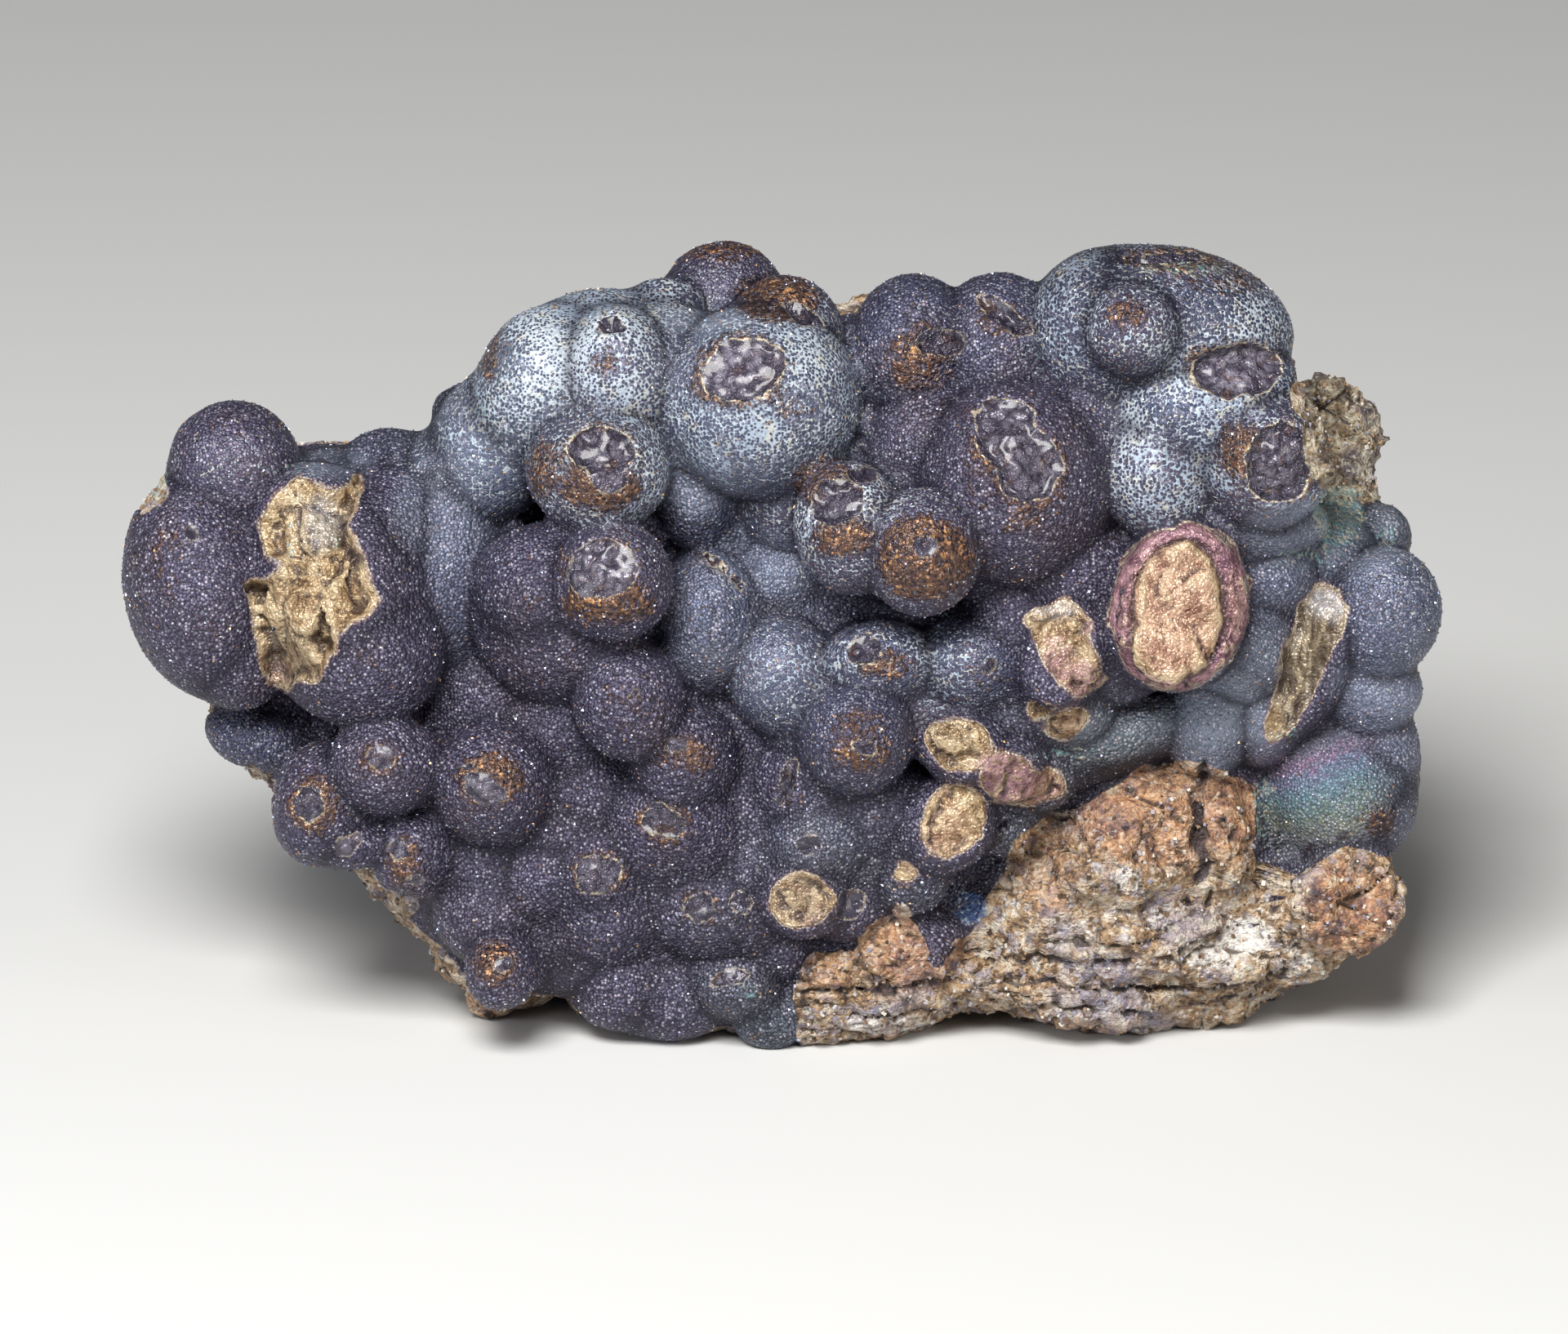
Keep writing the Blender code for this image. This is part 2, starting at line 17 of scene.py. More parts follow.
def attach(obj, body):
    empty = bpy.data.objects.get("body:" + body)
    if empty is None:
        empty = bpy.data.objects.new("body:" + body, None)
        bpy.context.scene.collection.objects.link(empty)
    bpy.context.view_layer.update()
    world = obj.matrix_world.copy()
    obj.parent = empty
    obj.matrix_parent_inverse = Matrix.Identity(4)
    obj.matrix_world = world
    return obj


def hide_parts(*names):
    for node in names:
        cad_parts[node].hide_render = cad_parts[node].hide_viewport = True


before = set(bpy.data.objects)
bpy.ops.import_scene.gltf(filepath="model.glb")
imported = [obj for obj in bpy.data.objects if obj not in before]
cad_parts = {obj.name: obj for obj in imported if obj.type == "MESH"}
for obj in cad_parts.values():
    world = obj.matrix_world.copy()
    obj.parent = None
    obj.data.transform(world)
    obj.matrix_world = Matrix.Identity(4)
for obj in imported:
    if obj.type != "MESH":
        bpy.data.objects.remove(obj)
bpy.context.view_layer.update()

NODE = "chalcopyrite_mass"

# %% [markdown]
# ## The leaning face
# The lobed side leans back by 20 degrees, and the photograph looks straight at it. So places are given
# as a collector would point at them: across to the right, up along the face, and out towards the eye,
# all in millimetres. One matrix turns them into metres in the room.

# %% Millimetres on the face, metres in the room
MM = 0.001
LEAN = math.radians(20.0)
MIDDLE = (0.0, 11.8)

FACE = Matrix((
    (MM, 0.0, 0.0, -MIDDLE[0] * MM),
    (0.0, math.sin(LEAN) * MM, -math.cos(LEAN) * MM, -MIDDLE[1] * MM),
    (0.0, math.cos(LEAN) * MM, math.sin(LEAN) * MM, 0.0),
    (0.0, 0.0, 0.0, 1.0),
))


def room_to_face(points):
    """An array of points in metres, as across, up and out in millimetres."""
    back = np.array(FACE.inverted())
    return points @ back[:3, :3].T + back[:3, 3]


def face_to_room(points):
    there = np.array(FACE)
    return points @ there[:3, :3].T + there[:3, 3]


print("a place on the face, in metres:", [round(x, 4) for x in FACE @ Vector((0.0, 22.0, 6.0))])

# %% [markdown]
# ## Camera, floor and light
# A long lens far away shows the stone almost without perspective, as the photograph does. The picture
# is 88.9 mm wide where the lobes are. Light comes from three large soft panels: a broad one above and
# in front, a cooler one from the left and a weak one from the right, so that each lobe gets its own
# soft highlight and a darker foot.

# %% Camera
VIEW_WIDTH = 88.9
VIEW_CENTRE = (0.14, 22.04, 6.0)
LENS = 300.0
SENSOR = 36.0
FARTHEST = 20.0


def new_object(name, data):
    made = bpy.data.objects.new(name, data)
    bpy.context.scene.collection.objects.link(made)
    return made


def make_camera():
    data = bpy.data.cameras.new("camera")
    data.lens, data.sensor_width, data.clip_end = LENS, SENSOR, FARTHEST
    camera = new_object("camera", data)
    away = VIEW_WIDTH * LENS / SENSOR
    across, up, out = VIEW_CENTRE
    camera.location = FACE @ Vector((across, up, out + away))
    camera.rotation_euler = (math.radians(90.0) - LEAN, 0.0, 0.0)
    bpy.context.scene.camera = camera
    return away


print("the camera stands", round(make_camera()), "mm away")

# %% Soft panels and a pale floor
PANELS = {
    # name: place in metres, width, height, watts, colour
    "top_panel": ((-0.08, -0.30, 0.38), 0.22, 0.18, 3.9, (1.0, 0.99, 0.97)),
    "left_panel": ((-0.42, -0.30, 0.20), 0.20, 0.20, 0.8, (0.90, 0.94, 1.0)),
    "right_panel": ((0.42, -0.26, 0.16), 0.16, 0.20, 0.6, (1.0, 0.96, 0.90)),
}
STONE_MIDDLE = Vector((0.0, 0.0, 0.022))
SKY_COLOUR, SKY_STRENGTH = (0.78, 0.82, 0.88, 1.0), 0.09
PAPER_COLOUR, PAPER_ROUGHNESS = (0.60, 0.60, 0.595, 1), 0.9
FLOOR_REACH = 3.0


def make_panels():
    for name, (place, width, height, watts, colour) in PANELS.items():
        data = bpy.data.lights.new(name, "AREA")
        data.shape = "RECTANGLE"
        data.size, data.size_y, data.energy, data.color = width, height, watts, colour
        panel = new_object(name, data)
        panel.location = place
        panel.rotation_euler = (STONE_MIDDLE - Vector(place)).to_track_quat("-Z", "Y").to_euler()


def mesh_from(bm, name):
    """A mesh with this name from a working one, which is then freed."""
    mesh = bpy.data.meshes.new(name)
    bm.to_mesh(mesh)
    bm.free()
    return mesh


def make_surroundings():
    world = bpy.data.worlds.new("studio")
    world.use_nodes = True
    sky = world.node_tree.nodes["Background"].inputs
    sky["Color"].default_value, sky["Strength"].default_value = SKY_COLOUR, SKY_STRENGTH
    bpy.context.scene.world = world
    bpy.context.scene.view_settings.view_transform = "Standard"
    bm = bmesh.new()
    bmesh.ops.create_grid(bm, x_segments=1, y_segments=1, size=FLOOR_REACH)
    floor = new_object("floor", mesh_from(bm, "floor"))
    paper = bpy.data.materials.new("pale_paper")
    paper.use_nodes = True
    finish = paper.node_tree.nodes["Principled BSDF"].inputs
    finish["Base Color"].default_value, finish["Roughness"].default_value = PAPER_COLOUR, PAPER_ROUGHNESS
    floor.data.materials.append(paper)


make_panels()
make_surroundings()
print("panels:", ", ".join(PANELS))

# %% [markdown]
# ## The lobes
# Each lobe is a squashed ball, the shape that a crust takes when it grows outwards from a point. The
# list gives its middle across and up, where its front reaches, its half width, half height and turn,
# which is left out where it is 0. The same list made the solid, so the fine surface fits it.

# %% Places and sizes of the lobes
LOBES = {
    # left cluster
    "left_crown": (-31.2, 33.4, 6.5, 3.8, 3.8),
    "left_cheek": (-33.2, 26.7, 8.0, 4.3, 6.4, 9),
    "left_cheek_foot": (-30.9, 22.3, 6.0, 2.8, 2.7),
    "scar_lobe_top": (-26.7, 30.2, 7.8, 3.5, 3.4),
    "scar_lobe": (-25.3, 26.0, 9.6, 5.0, 6.3),
    "scar_lobe_foot": (-24.0, 22.8, 9.2, 4.7, 4.1),
    "scar_lobe_side": (-22.9, 28.6, 7.6, 3.0, 4.6, -10),
    "left_web": (-25.6, 32.8, 3.0, 2.3, 1.7),
    "left_shoulder": (-22.4, 32.5, 4.2, 3.1, 3.2),
    "left_smooth": (-19.2, 28.0, 6.4, 3.5, 6.6),
    "left_smooth_top": (-18.4, 32.9, 5.4, 3.0, 3.2),
    "left_ledge": (-30.0, 18.0, 1.4, 3.1, 1.9, -18),
    # crown, from left to right
    "crown_knob": (-18.7, 36.7, 2.0, 1.2, 1.2),
    "pale_skirt": (-16.4, 34.6, 6.8, 3.4, 4.2),
    "pale_dome": (-13.6, 38.1, 9.0, 3.7, 4.5, -18),
    "pale_dome_back": (-10.3, 40.7, 6.5, 3.8, 2.9),
    "pitted_dome": (-9.4, 38.8, 10.0, 2.9, 3.6),
    "crater_dome": (-10.4, 33.1, 11.8, 4.0, 3.5),
    "crown_saddle": (-6.4, 38.6, 8.2, 3.4, 4.0),
    "rear_knob": (-3.3, 42.9, 3.5, 3.6, 3.5),
    "rear_knob_side": (-6.6, 42.5, 4.5, 2.3, 1.7),
    "window_dome": (-1.2, 37.1, 11.5, 5.6, 5.5),
    "window_dome_back": (0.2, 40.8, 8.0, 3.3, 3.5),
    "twin_top_left": (7.5, 40.0, 8.0, 3.7, 4.4),
    "twin_top_right": (12.4, 40.2, 8.3, 3.7, 4.3),
    "belly_dome": (13.1, 32.5, 12.5, 5.4, 5.8, 8),
    "belly_dome_neck": (8.9, 34.6, 9.0, 4.2, 3.7),
    "belly_dome_side": (16.7, 33.9, 9.8, 2.9, 5.5, -8),
    "belly_dome_foot": (16.6, 27.6, 8.6, 3.4, 3.0),
    "belly_dome_root": (10.8, 29.6, 9.4, 3.2, 3.6),
    "right_crown": (21.7, 41.4, 11.0, 7.4, 4.6, -8),
    "right_crown_left": (18.2, 41.3, 10.5, 4.0, 4.3),
    "nipple": (19.8, 41.1, 13.0, 2.4, 2.4),
    "right_crown_lower": (24.2, 36.7, 11.0, 5.5, 3.6, 12),
    "right_eye": (27.5, 33.8, 11.8, 3.7, 3.9),
    "right_frost": (21.3, 33.0, 10.6, 3.1, 3.5),
    "right_saddle": (25.1, 30.2, 8.4, 6.0, 2.4),
    # granular lumps that stand behind the crown, right
    "gravel_lump": (32.7, 35.3, -2.6, 1.9, 2.6),
    "gravel_lump_small": (30.6, 37.1, -2.4, 1.4, 1.3),
    "gravel_lump_foot": (32.9, 32.4, -1.6, 1.6, 1.8),
    # right column
    "right_step": (34.4, 29.5, 1.0, 1.6, 1.9),
    "right_saddle_low": (30.9, 28.4, 4.0, 2.9, 2.4),
    "right_cheek": (34.3, 25.2, 6.0, 3.3, 3.7, -5),
    "right_chin": (34.0, 20.7, 3.6, 2.6, 2.1),
    "rainbow_dome": (31.9, 14.9, 2.6, 4.3, 4.3),
    "rainbow_side_top": (34.6, 17.4, 1.6, 1.9, 2.3),
    "rainbow_side_low": (34.3, 13.8, 1.6, 1.8, 2.3),
    "behind_disc_top": (27.5, 27.2, 6.4, 2.7, 2.4),
    "behind_disc": (26.2, 23.5, 6.6, 2.9, 3.1),
    "disc_root": (19.2, 24.4, 8.0, 3.0, 4.2),
    "ledge_roll": (19.0, 18.0, 4.4, 5.1, 1.6, 20),
    "ledge_roll_low": (18.0, 16.8, 3.4, 4.6, 1.1, 22),
    "grey_knuckle": (24.3, 18.9, 4.6, 2.1, 3.1),
    "grey_knuckle_side": (27.4, 19.1, 3.8, 1.6, 2.4),
    # middle
    "twin_eye_left": (3.8, 29.9, 12.6, 3.1, 3.8, 10),
    "twin_eye_right": (7.9, 28.5, 13.6, 3.3, 3.6),
    "twin_eye_root": (5.9, 30.2, 8.8, 5.0, 4.3),
    "under_crown": (-5.0, 32.0, 6.6, 2.5, 3.2),
    "under_crown_right": (0.6, 32.1, 7.0, 3.2, 3.6),
    "bluish_slope": (-0.1, 27.2, 5.2, 3.5, 3.4),
    "bluish_slope_top": (-2.7, 29.6, 4.6, 2.3, 2.0),
    "hooded_lobe_root": (-12.7, 25.2, 9.0, 4.9, 5.1),
    "hooded_lobe_step": (-13.6, 26.6, 9.8, 3.6, 3.5),
    "hooded_eye": (-9.5, 26.9, 12.4, 3.4, 3.4),
    "slit_cone": (-4.2, 24.6, 7.2, 3.1, 4.1),
    "plum": (-8.7, 20.2, 9.2, 3.1, 3.4),
    "mid_left": (0.0, 21.7, 7.4, 3.1, 3.3),
    "mid_pit": (5.6, 22.3, 8.6, 3.2, 2.4),
    "mid_right": (10.8, 22.3, 8.2, 3.3, 2.6),
    "mid_right_root": (13.2, 24.6, 7.6, 3.0, 2.6),
    "berry": (4.3, 18.1, 9.8, 3.0, 3.1),
    "berry_root": (2.5, 19.1, 6.0, 3.2, 2.8),
    "mid_band": (7.5, 19.6, 6.6, 4.2, 2.2),
    # violet field, lower left
    "field_a": (-16.9, 20.6, 4.0, 2.5, 2.7),
    "field_b": (-18.8, 19.6, 3.2, 1.8, 2.2),
    "field_c": (-12.6, 18.9, 4.8, 3.2, 3.0, -15),
    "berry_left": (-16.5, 15.4, 7.6, 3.2, 3.3),
    "berry_far_left": (-22.6, 16.5, 7.8, 3.1, 2.8),
    "berry_low_left": (-26.2, 14.3, 6.4, 2.8, 3.6, -12),
    "berry_low_left_foot": (-24.5, 11.9, 5.4, 1.9, 1.4),
    "ball": (-21.2, 11.3, 5.0, 2.1, 2.4),
    "field_d": (-10.9, 15.2, 3.6, 2.7, 2.6),
    "field_e": (-12.6, 12.9, 3.2, 2.4, 2.1),
    "field_f": (-3.4, 18.2, 4.0, 3.0, 3.4),
    "field_g": (-1.5, 14.3, 3.4, 2.6, 3.7),
    "bright_berry": (-5.6, 17.1, 7.0, 2.8, 2.9),
    "cup_lobe": (-6.2, 13.2, 5.6, 3.3, 3.0),
    "crescent_lobe": (1.3, 15.6, 5.2, 2.6, 2.6),
    "crescent_lobe_low": (2.1, 12.2, 5.4, 2.5, 2.2),
    "smooth_low": (5.3, 14.3, 5.0, 3.2, 3.0),
    "low_hollow": (5.6, 11.2, 3.8, 2.6, 2.4),
    "cup_hollow": (12.6, 18.8, 5.8, 2.8, 2.6),
    "shell_hollow": (12.8, 13.4, 4.0, 2.2, 2.2),
    "field_p": (-20.0, 14.3, 3.2, 2.8, 3.0),
    "field_q": (-8.4, 14.2, 3.6, 2.4, 2.6),
    "field_r": (-6.9, 10.3, 2.8, 2.2, 2.2),
    "flower_cup": (-10.4, 10.3, 4.2, 1.9, 2.2),
    "flower_cup_foot": (-10.0, 7.9, 3.6, 2.6, 2.5),
    "field_h": (-13.7, 10.1, 3.4, 2.1, 2.0),
    "field_i": (-17.1, 11.0, 2.8, 2.9, 2.8),
    "field_j": (-16.9, 8.0, 3.0, 2.8, 2.6),
    "toe": (-16.0, 4.6, 4.6, 2.0, 2.1),
    "field_k": (-14.2, 6.6, 1.6, 3.2, 2.8),
    "field_l": (-11.9, 5.7, 1.4, 3.2, 2.1),
    "double_cup": (-4.1, 8.0, 3.6, 3.1, 2.3),
    "double_cup_side": (-1.9, 7.8, 3.2, 2.1, 2.2),
    "hem_a": (-9.2, 3.6, 1.4, 2.8, 2.4),
    "hem_b": (-6.3, 3.0, 1.2, 3.3, 2.5),
    "oyster": (-2.6, 3.8, 2.4, 2.4, 1.8),
    "blue_toe": (-0.6, 2.0, 1.0, 2.2, 1.9),
    "field_m": (-0.1, 5.9, 2.0, 1.9, 1.6),
    "field_n": (-4.5, 10.8, 2.8, 3.2, 2.6),
    "field_o": (-0.8, 10.8, 3.4, 2.2, 2.1),
    # low middle
    "brass_cup_side": (3.8, 8.4, 3.6, 2.1, 2.0),
    "thimble": (7.6, 10.0, 4.6, 1.9, 1.9),
    "gold_shell_blue": (7.6, 12.5, 4.8, 2.0, 1.6),
    "chips": (14.6, 15.6, 4.6, 2.1, 1.8),
    "cup_pair": (15.9, 19.8, 6.4, 2.7, 1.9, -10),
    # broken base
    "mound_left": (2.5, 4.5, 1.6, 1.9, 1.9),
    "mound": (7.6, 5.8, 2.6, 3.5, 2.9),
    "slab_ridge": (20.3, 11.9, 4.0, 5.6, 4.2, 25),
    "slab_rib": (25.1, 12.4, 3.6, 2.2, 3.7),
}
# Lobes that snapped: the same six values, how deep the break goes, and the way it faces.
SNAPPED = {
    "big_disc": ((22.5, 25.4, 12.4, 3.9, 4.8, -12), 2.0, (0.10, 0.05)),
    "petal_disc": ((16.0, 22.8, 10.2, 2.3, 3.2, -20), 1.2, (-0.15, -0.10)),
    "splinter": ((30.3, 22.8, 5.8, 2.1, 4.6, -22), 1.4, (-0.45, -0.20)),
    "butter_shell": ((10.2, 17.4, 8.2, 2.4, 1.9, -15), 0.7, (0.0, -0.15)),
    "wine_shell": ((12.9, 16.1, 7.4, 1.8, 1.8, 0), 0.6, (0.1, -0.2)),
    "gold_shell": ((9.6, 13.0, 6.8, 2.4, 2.6, -20), 0.7, (0.15, -0.10)),
    "brass_cup": ((1.2, 8.7, 5.4, 2.2, 2.1, 0), 0.6, (0.0, 0.0)),
    "corner_lobe": ((32.5, 8.6, 3.6, 3.2, 3.3, 0), 1.2, (0.10, 0.05)),
}
# Broad swellings that carry the lobes: across, up, front, half width, half height, depth
SWELLS = {
    "under_the_crown": (4.0, 35.4, 5.0, 24.0, 7.2, 9.0),
    "under_the_left_cluster": (-26.5, 27.0, 3.8, 8.6, 8.0, 7.0),
    "under_the_middle": (1.0, 24.5, 4.8, 18.0, 8.0, 8.0),
    "under_the_right_column": (27.5, 25.0, 3.4, 9.0, 10.5, 8.0),
    "under_the_violet_field": (-9.0, 12.0, 2.6, 15.0, 8.6, 6.0),
}
print(len(LOBES), "lobes,", len(SNAPPED), "of them snapped apart from those,", len(SWELLS), "swellings")

# %% [markdown]
# ## Skin: how each lobe is finished
# The tarnish isn't the same all over. High lobes carry a frost of tiny pale crystals with dark pores,
# some hollows between them have a smooth blue bloom, and rust collects round the openings. Each lobe
# gets its share here, from 0 to 1, and the shares are blended where lobes meet.

# %% Frost, bloom, rust, blue and sea green of the lobes
FINISHES = ("frost", "bloom", "rust", "blue", "green")
SHARES = {
    # name: frost, bloom, rust, blue, green
    "left_crown": (0.3, 0, 0.35, 0, 0), "left_cheek": (0.12, 0, 0.3, 0, 0),
    "scar_lobe_foot": (0, 0, 0.15, 0, 0), "left_web": (0, 0.6, 0, 0.8, 0),
    "left_shoulder": (0.2, 0, 0, 0.3, 0.2), "left_smooth": (0.15, 0.3, 0, 0.4, 0),
    "left_smooth_top": (0.45, 0.45, 0, 0.6, 0.3), "left_ledge": (0.3, 0, 0, 0.4, 0),
    "pale_skirt": (0.62, 0.45, 0, 0.7, 0), "pale_dome": (0.85, 0.45, 0, 0.7, 0.3),
    "pale_dome_back": (0.8, 0.3, 0, 0, 0), "pitted_dome": (0.9, 0.25, 0.3, 0, 0),
    "crater_dome": (0.68, 0, 0.4, 0, 0.2), "crown_saddle": (0.75, 0.3, 0, 0.6, 0),
    "rear_knob": (0.25, 0, 0.35, 0, 0), "rear_knob_side": (0.5, 0, 0, 0, 0),
    "window_dome": (0.78, 0.3, 0, 0.6, 0), "window_dome_back": (0.5, 0, 0.6, 0, 0),
    "twin_top_left": (0.2, 0, 0.45, 0.35, 0), "twin_top_right": (0.2, 0, 0.2, 0.3, 0),
    "belly_dome": (0.16, 0, 0.3, 0, 0), "belly_dome_neck": (0.2, 0, 0, 0, 0),
    "belly_dome_side": (0.14, 0, 0.2, 0, 0), "right_crown": (0.82, 0, 0.25, 0.55, 0),
    "right_crown_left": (0.75, 0, 0, 0.5, 0), "nipple": (0.7, 0, 0.45, 0, 0),
    "right_crown_lower": (0.85, 0, 0, 0.7, 0), "right_eye": (0.5, 0, 0.25, 0, 0),
    "right_frost": (0.85, 0, 0, 0, 0), "right_saddle": (0.35, 0.3, 0, 0, 0),
    "right_step": (0, 0.5, 0, 0, 0.6), "right_saddle_low": (0, 0.75, 0, 0.9, 0.3),
    "right_cheek": (0.42, 0.3, 0.2, 0.5, 0), "right_chin": (0.3, 0.75, 0, 0.5, 0),
    "rainbow_dome": (0, 0.55, 0, 0, 0.4), "rainbow_side_top": (0, 0.6, 0, 0, 0),
    "rainbow_side_low": (0, 0.6, 0, 0, 0), "behind_disc_top": (0, 0.45, 0, 0.5, 0),
    "behind_disc": (0.3, 0.4, 0, 0.4, 0.3), "disc_root": (0, 0.3, 0, 0, 0),
    "ledge_roll": (0, 0.25, 0, 0, 0.8), "ledge_roll_low": (0, 0, 0, 0, 0.8),
    "grey_knuckle": (0.35, 0.65, 0, 0, 0.3), "grey_knuckle_side": (0.35, 0.55, 0, 0, 0),
    "twin_eye_left": (0.6, 0, 0.3, 0, 0), "twin_eye_right": (0.5, 0, 0.7, 0, 0),
    "twin_eye_root": (0.45, 0.2, 0, 0.4, 0), "under_crown": (0, 0, 0, 0.5, 0),
    "under_crown_right": (0.4, 0, 0, 0, 0), "bluish_slope": (0.3, 0.75, 0, 0.9, 0),
    "bluish_slope_top": (0, 0.6, 0, 0.9, 0), "hooded_lobe_root": (0.12, 0, 0, 0, 0),
    "hooded_eye": (0.2, 0, 0.6, 0, 0), "slit_cone": (0.3, 0.25, 0.15, 0.6, 0), "plum": (0.1, 0, 0, 0, 0),
    "mid_left": (0.45, 0.2, 0, 0.55, 0), "mid_pit": (0.45, 0, 0.2, 0.45, 0),
    "mid_right": (0.5, 0, 0, 0.5, 0), "berry": (0.25, 0, 0.25, 0.3, 0), "berry_root": (0.4, 0, 0, 0, 0),
    "mid_band": (0.42, 0, 0, 0, 0), "berry_left": (0, 0, 0.3, 0, 0), "berry_far_left": (0, 0, 0.2, 0, 0),
    "berry_low_left": (0.14, 0, 0.25, 0, 0), "bright_berry": (0, 0, 0.2, 0, 0),
    "cup_lobe": (0, 0, 0.1, 0, 0), "crescent_lobe_low": (0.3, 0, 0, 0.4, 0.3),
    "smooth_low": (0, 0, 0, 0, 0.25), "low_hollow": (0, 0, 0, 0, 0.6), "cup_hollow": (0, 0, 0, 0, 0.5),
    "shell_hollow": (0, 0, 0, 0, 0.7), "flower_cup_foot": (0, 0, 0.2, 0, 0), "toe": (0, 0, 0.3, 0, 0),
    "double_cup": (0, 0, 0, 0, 0.2), "hem_a": (0, 0, 0.15, 0, 0), "hem_b": (0, 0, 0.2, 0, 0),
    "oyster": (0, 0, 0, 0, 0.5), "blue_toe": (0, 0, 0, 0.5, 0.6), "field_o": (0.2, 0, 0, 0, 0.3),
    "thimble": (0, 0, 0, 0, 0.4), "gold_shell_blue": (0, 0, 0, 0, 0.4), "chips": (0, 0, 0, 0, 0.4),
    "cup_pair": (0.4, 0, 0, 0, 0.6), "under_the_crown": (0, 0, 0, 0.3, 0),
}
print(len(SHARES), "lobes have shares of", ", ".join(FINISHES))

# %% [markdown]
# ## Openings and breaks
# On many lobes the skin has burst and shows a glossy dark lining: these are the windows. Others snapped
# off whole and show brass. A window is an oval or an outline, with how deep it lies, how bright its
# torn rim is and how dark its lining. A break is an oval or an outline as well, because brass only
# shows where the skin is gone.

# %% Windows: across, up, half width, half height, turn, depth, rim, darkness
WINDOWS = {
    "window_dome": (-2.2, 38.8, 2.5, 1.75, 25, 0.45, 1.0, 0.1),
    "pitted_dome": (-9.8, 41.4, 0.9, 0.5, 0, 0.7, 0.3, 1.0),
    "crater_dome": (-10.0, 34.2, 2.0, 1.35, 0, 0.8, 0.9, 0.7),
    "crater_dome_foot": (-9.8, 32.6, 1.3, 0.8, -20, 0.3, 0.5, 0.2),
    "window_dome_back": (1.3, 42.0, 1.3, 0.5, -35, 0.6, 0.5, 1.0),
    "twin_top_left": (8.9, 40.4, 1.5, 0.8, 0, 0.6, 0.3, 0.9),
    "twin_top_right": (12.6, 42.0, 2.1, 0.65, -36, 0.6, 0.5, 0.9),
    "right_crown_window": (25.7, 38.8, 2.7, 1.6, 4, 0.65, 1.0, 0.15),
    "right_crown_ledge": (21.6, 45.2, 2.4, 0.35, 0, 0.5, 0.6, 0.8),
    "right_eye": (28.0, 33.5, 1.9, 2.3, -10, 0.6, 1.0, 0.75),
    "twin_eye_left": (3.2, 31.4, 1.7, 1.2, 20, 0.6, 0.4, 0.8),
    "twin_eye_left_top": (4.6, 33.0, 0.8, 0.5, 0, 0.4, 0.3, 0.8),
    "twin_eye_right": (8.1, 28.8, 0.75, 0.55, 0, 0.3, 0.2, 0.3),
    "hooded_eye": (-10.0, 27.5, 2.1, 1.7, 0, 0.3, 0.5, 0.45),
    "slit": (-3.2, 27.5, 1.5, 0.28, -41, 0.5, 0.9, 0.9),
    "mid_pit": (4.7, 23.0, 1.0, 0.85, 0, 0.5, 0.7, 0.7),
    "mid_right": (11.8, 22.0, 0.5, 0.35, 0, 0.25, 0.2, 0.6),
    "flower_cup": (-10.4, 10.3, 1.4, 0.95, 15, 0.3, 0.6, 0.5),
    "cup_lobe": (-6.8, 13.3, 1.25, 0.9, 0, 0.4, 0.5, 0.8),
    "berry_left": (-16.8, 15.2, 1.3, 0.8, -20, 0.12, 0.2, 0.3),
    "berry_left_pit": (-17.9, 16.4, 0.4, 0.35, 0, 0.3, 0.2, 0.8),
    "berry_far_left": (-22.7, 16.9, 0.8, 0.7, 0, 0.15, 0.4, 0.0),
    "berry_low_left": (-26.8, 14.2, 0.9, 1.0, 0, 0.35, 0.4, 0.8),
    "berry_low_left_foot": (-24.6, 11.9, 0.9, 0.6, 20, 0.2, 0.4, 0.0),
    "ball_top": (-21.7, 11.6, 0.45, 0.65, 0, 0.2, 0.5, 0.2),
    "ball_foot": (-20.8, 10.0, 0.6, 0.35, 0, 0.2, 0.4, 0.0),
    "crescent": (0.3, 15.6, 0.5, 1.5, -25, 0.35, 0.4, 0.9),
    "crescent_low": (1.6, 12.0, 0.8, 0.6, 0, 0.25, 0.3, 0.9),
    "double_cup": (-4.7, 8.4, 0.95, 0.8, 0, 0.3, 0.5, 0.8),
    "double_cup_side": (-2.3, 8.6, 0.6, 0.65, 0, 0.3, 0.5, 0.9),
    "brass_cup_side": (3.8, 8.5, 0.9, 0.8, 0, 0.35, 0.5, 0.9),
    "bright_berry": (-6.0, 17.6, 0.6, 0.45, 0, 0.15, 0.2, 0.1),
    "bright_berry_low": (-4.4, 16.9, 0.35, 0.3, 0, 0.15, 0.2, 0.1),
    "toe": (-15.9, 5.2, 0.7, 0.5, 30, 0.15, 0.4, 0.2),
    "oyster": (-3.0, 4.3, 1.1, 0.5, 15, 0.25, 0.5, 0.7),
    "left_cheek": (-33.4, 29.6, 0.5, 0.4, 0, 0.25, 0.2, 0.8),
    "plum": (-8.3, 20.4, 0.5, 0.35, 20, 0.15, 0.2, 0.6),
    "berry": (4.6, 17.4, 0.7, 0.5, -15, 0.2, 0.5, 0.3),
    "slit_by_the_shell": (12.6, 12.6, 0.25, 0.85, -5, 0.9, 0.1, 1.0),
}
BELLY_WINDOW = (
    (10.8, 36.5), (12.2, 37.2), (13.1, 37.3), (14.1, 36.7), (14.4, 35.8), (15.2, 34.9), (15.8, 33.9),
    (15.9, 33.0), (15.2, 32.1), (14.5, 31.4), (13.3, 31.1), (12.4, 31.9), (12.0, 33.4), (11.1, 33.9),
    (11.0, 35.3),
)
BELLY_WINDOW_LOOKS = (0.6, 0.8, 0.5)

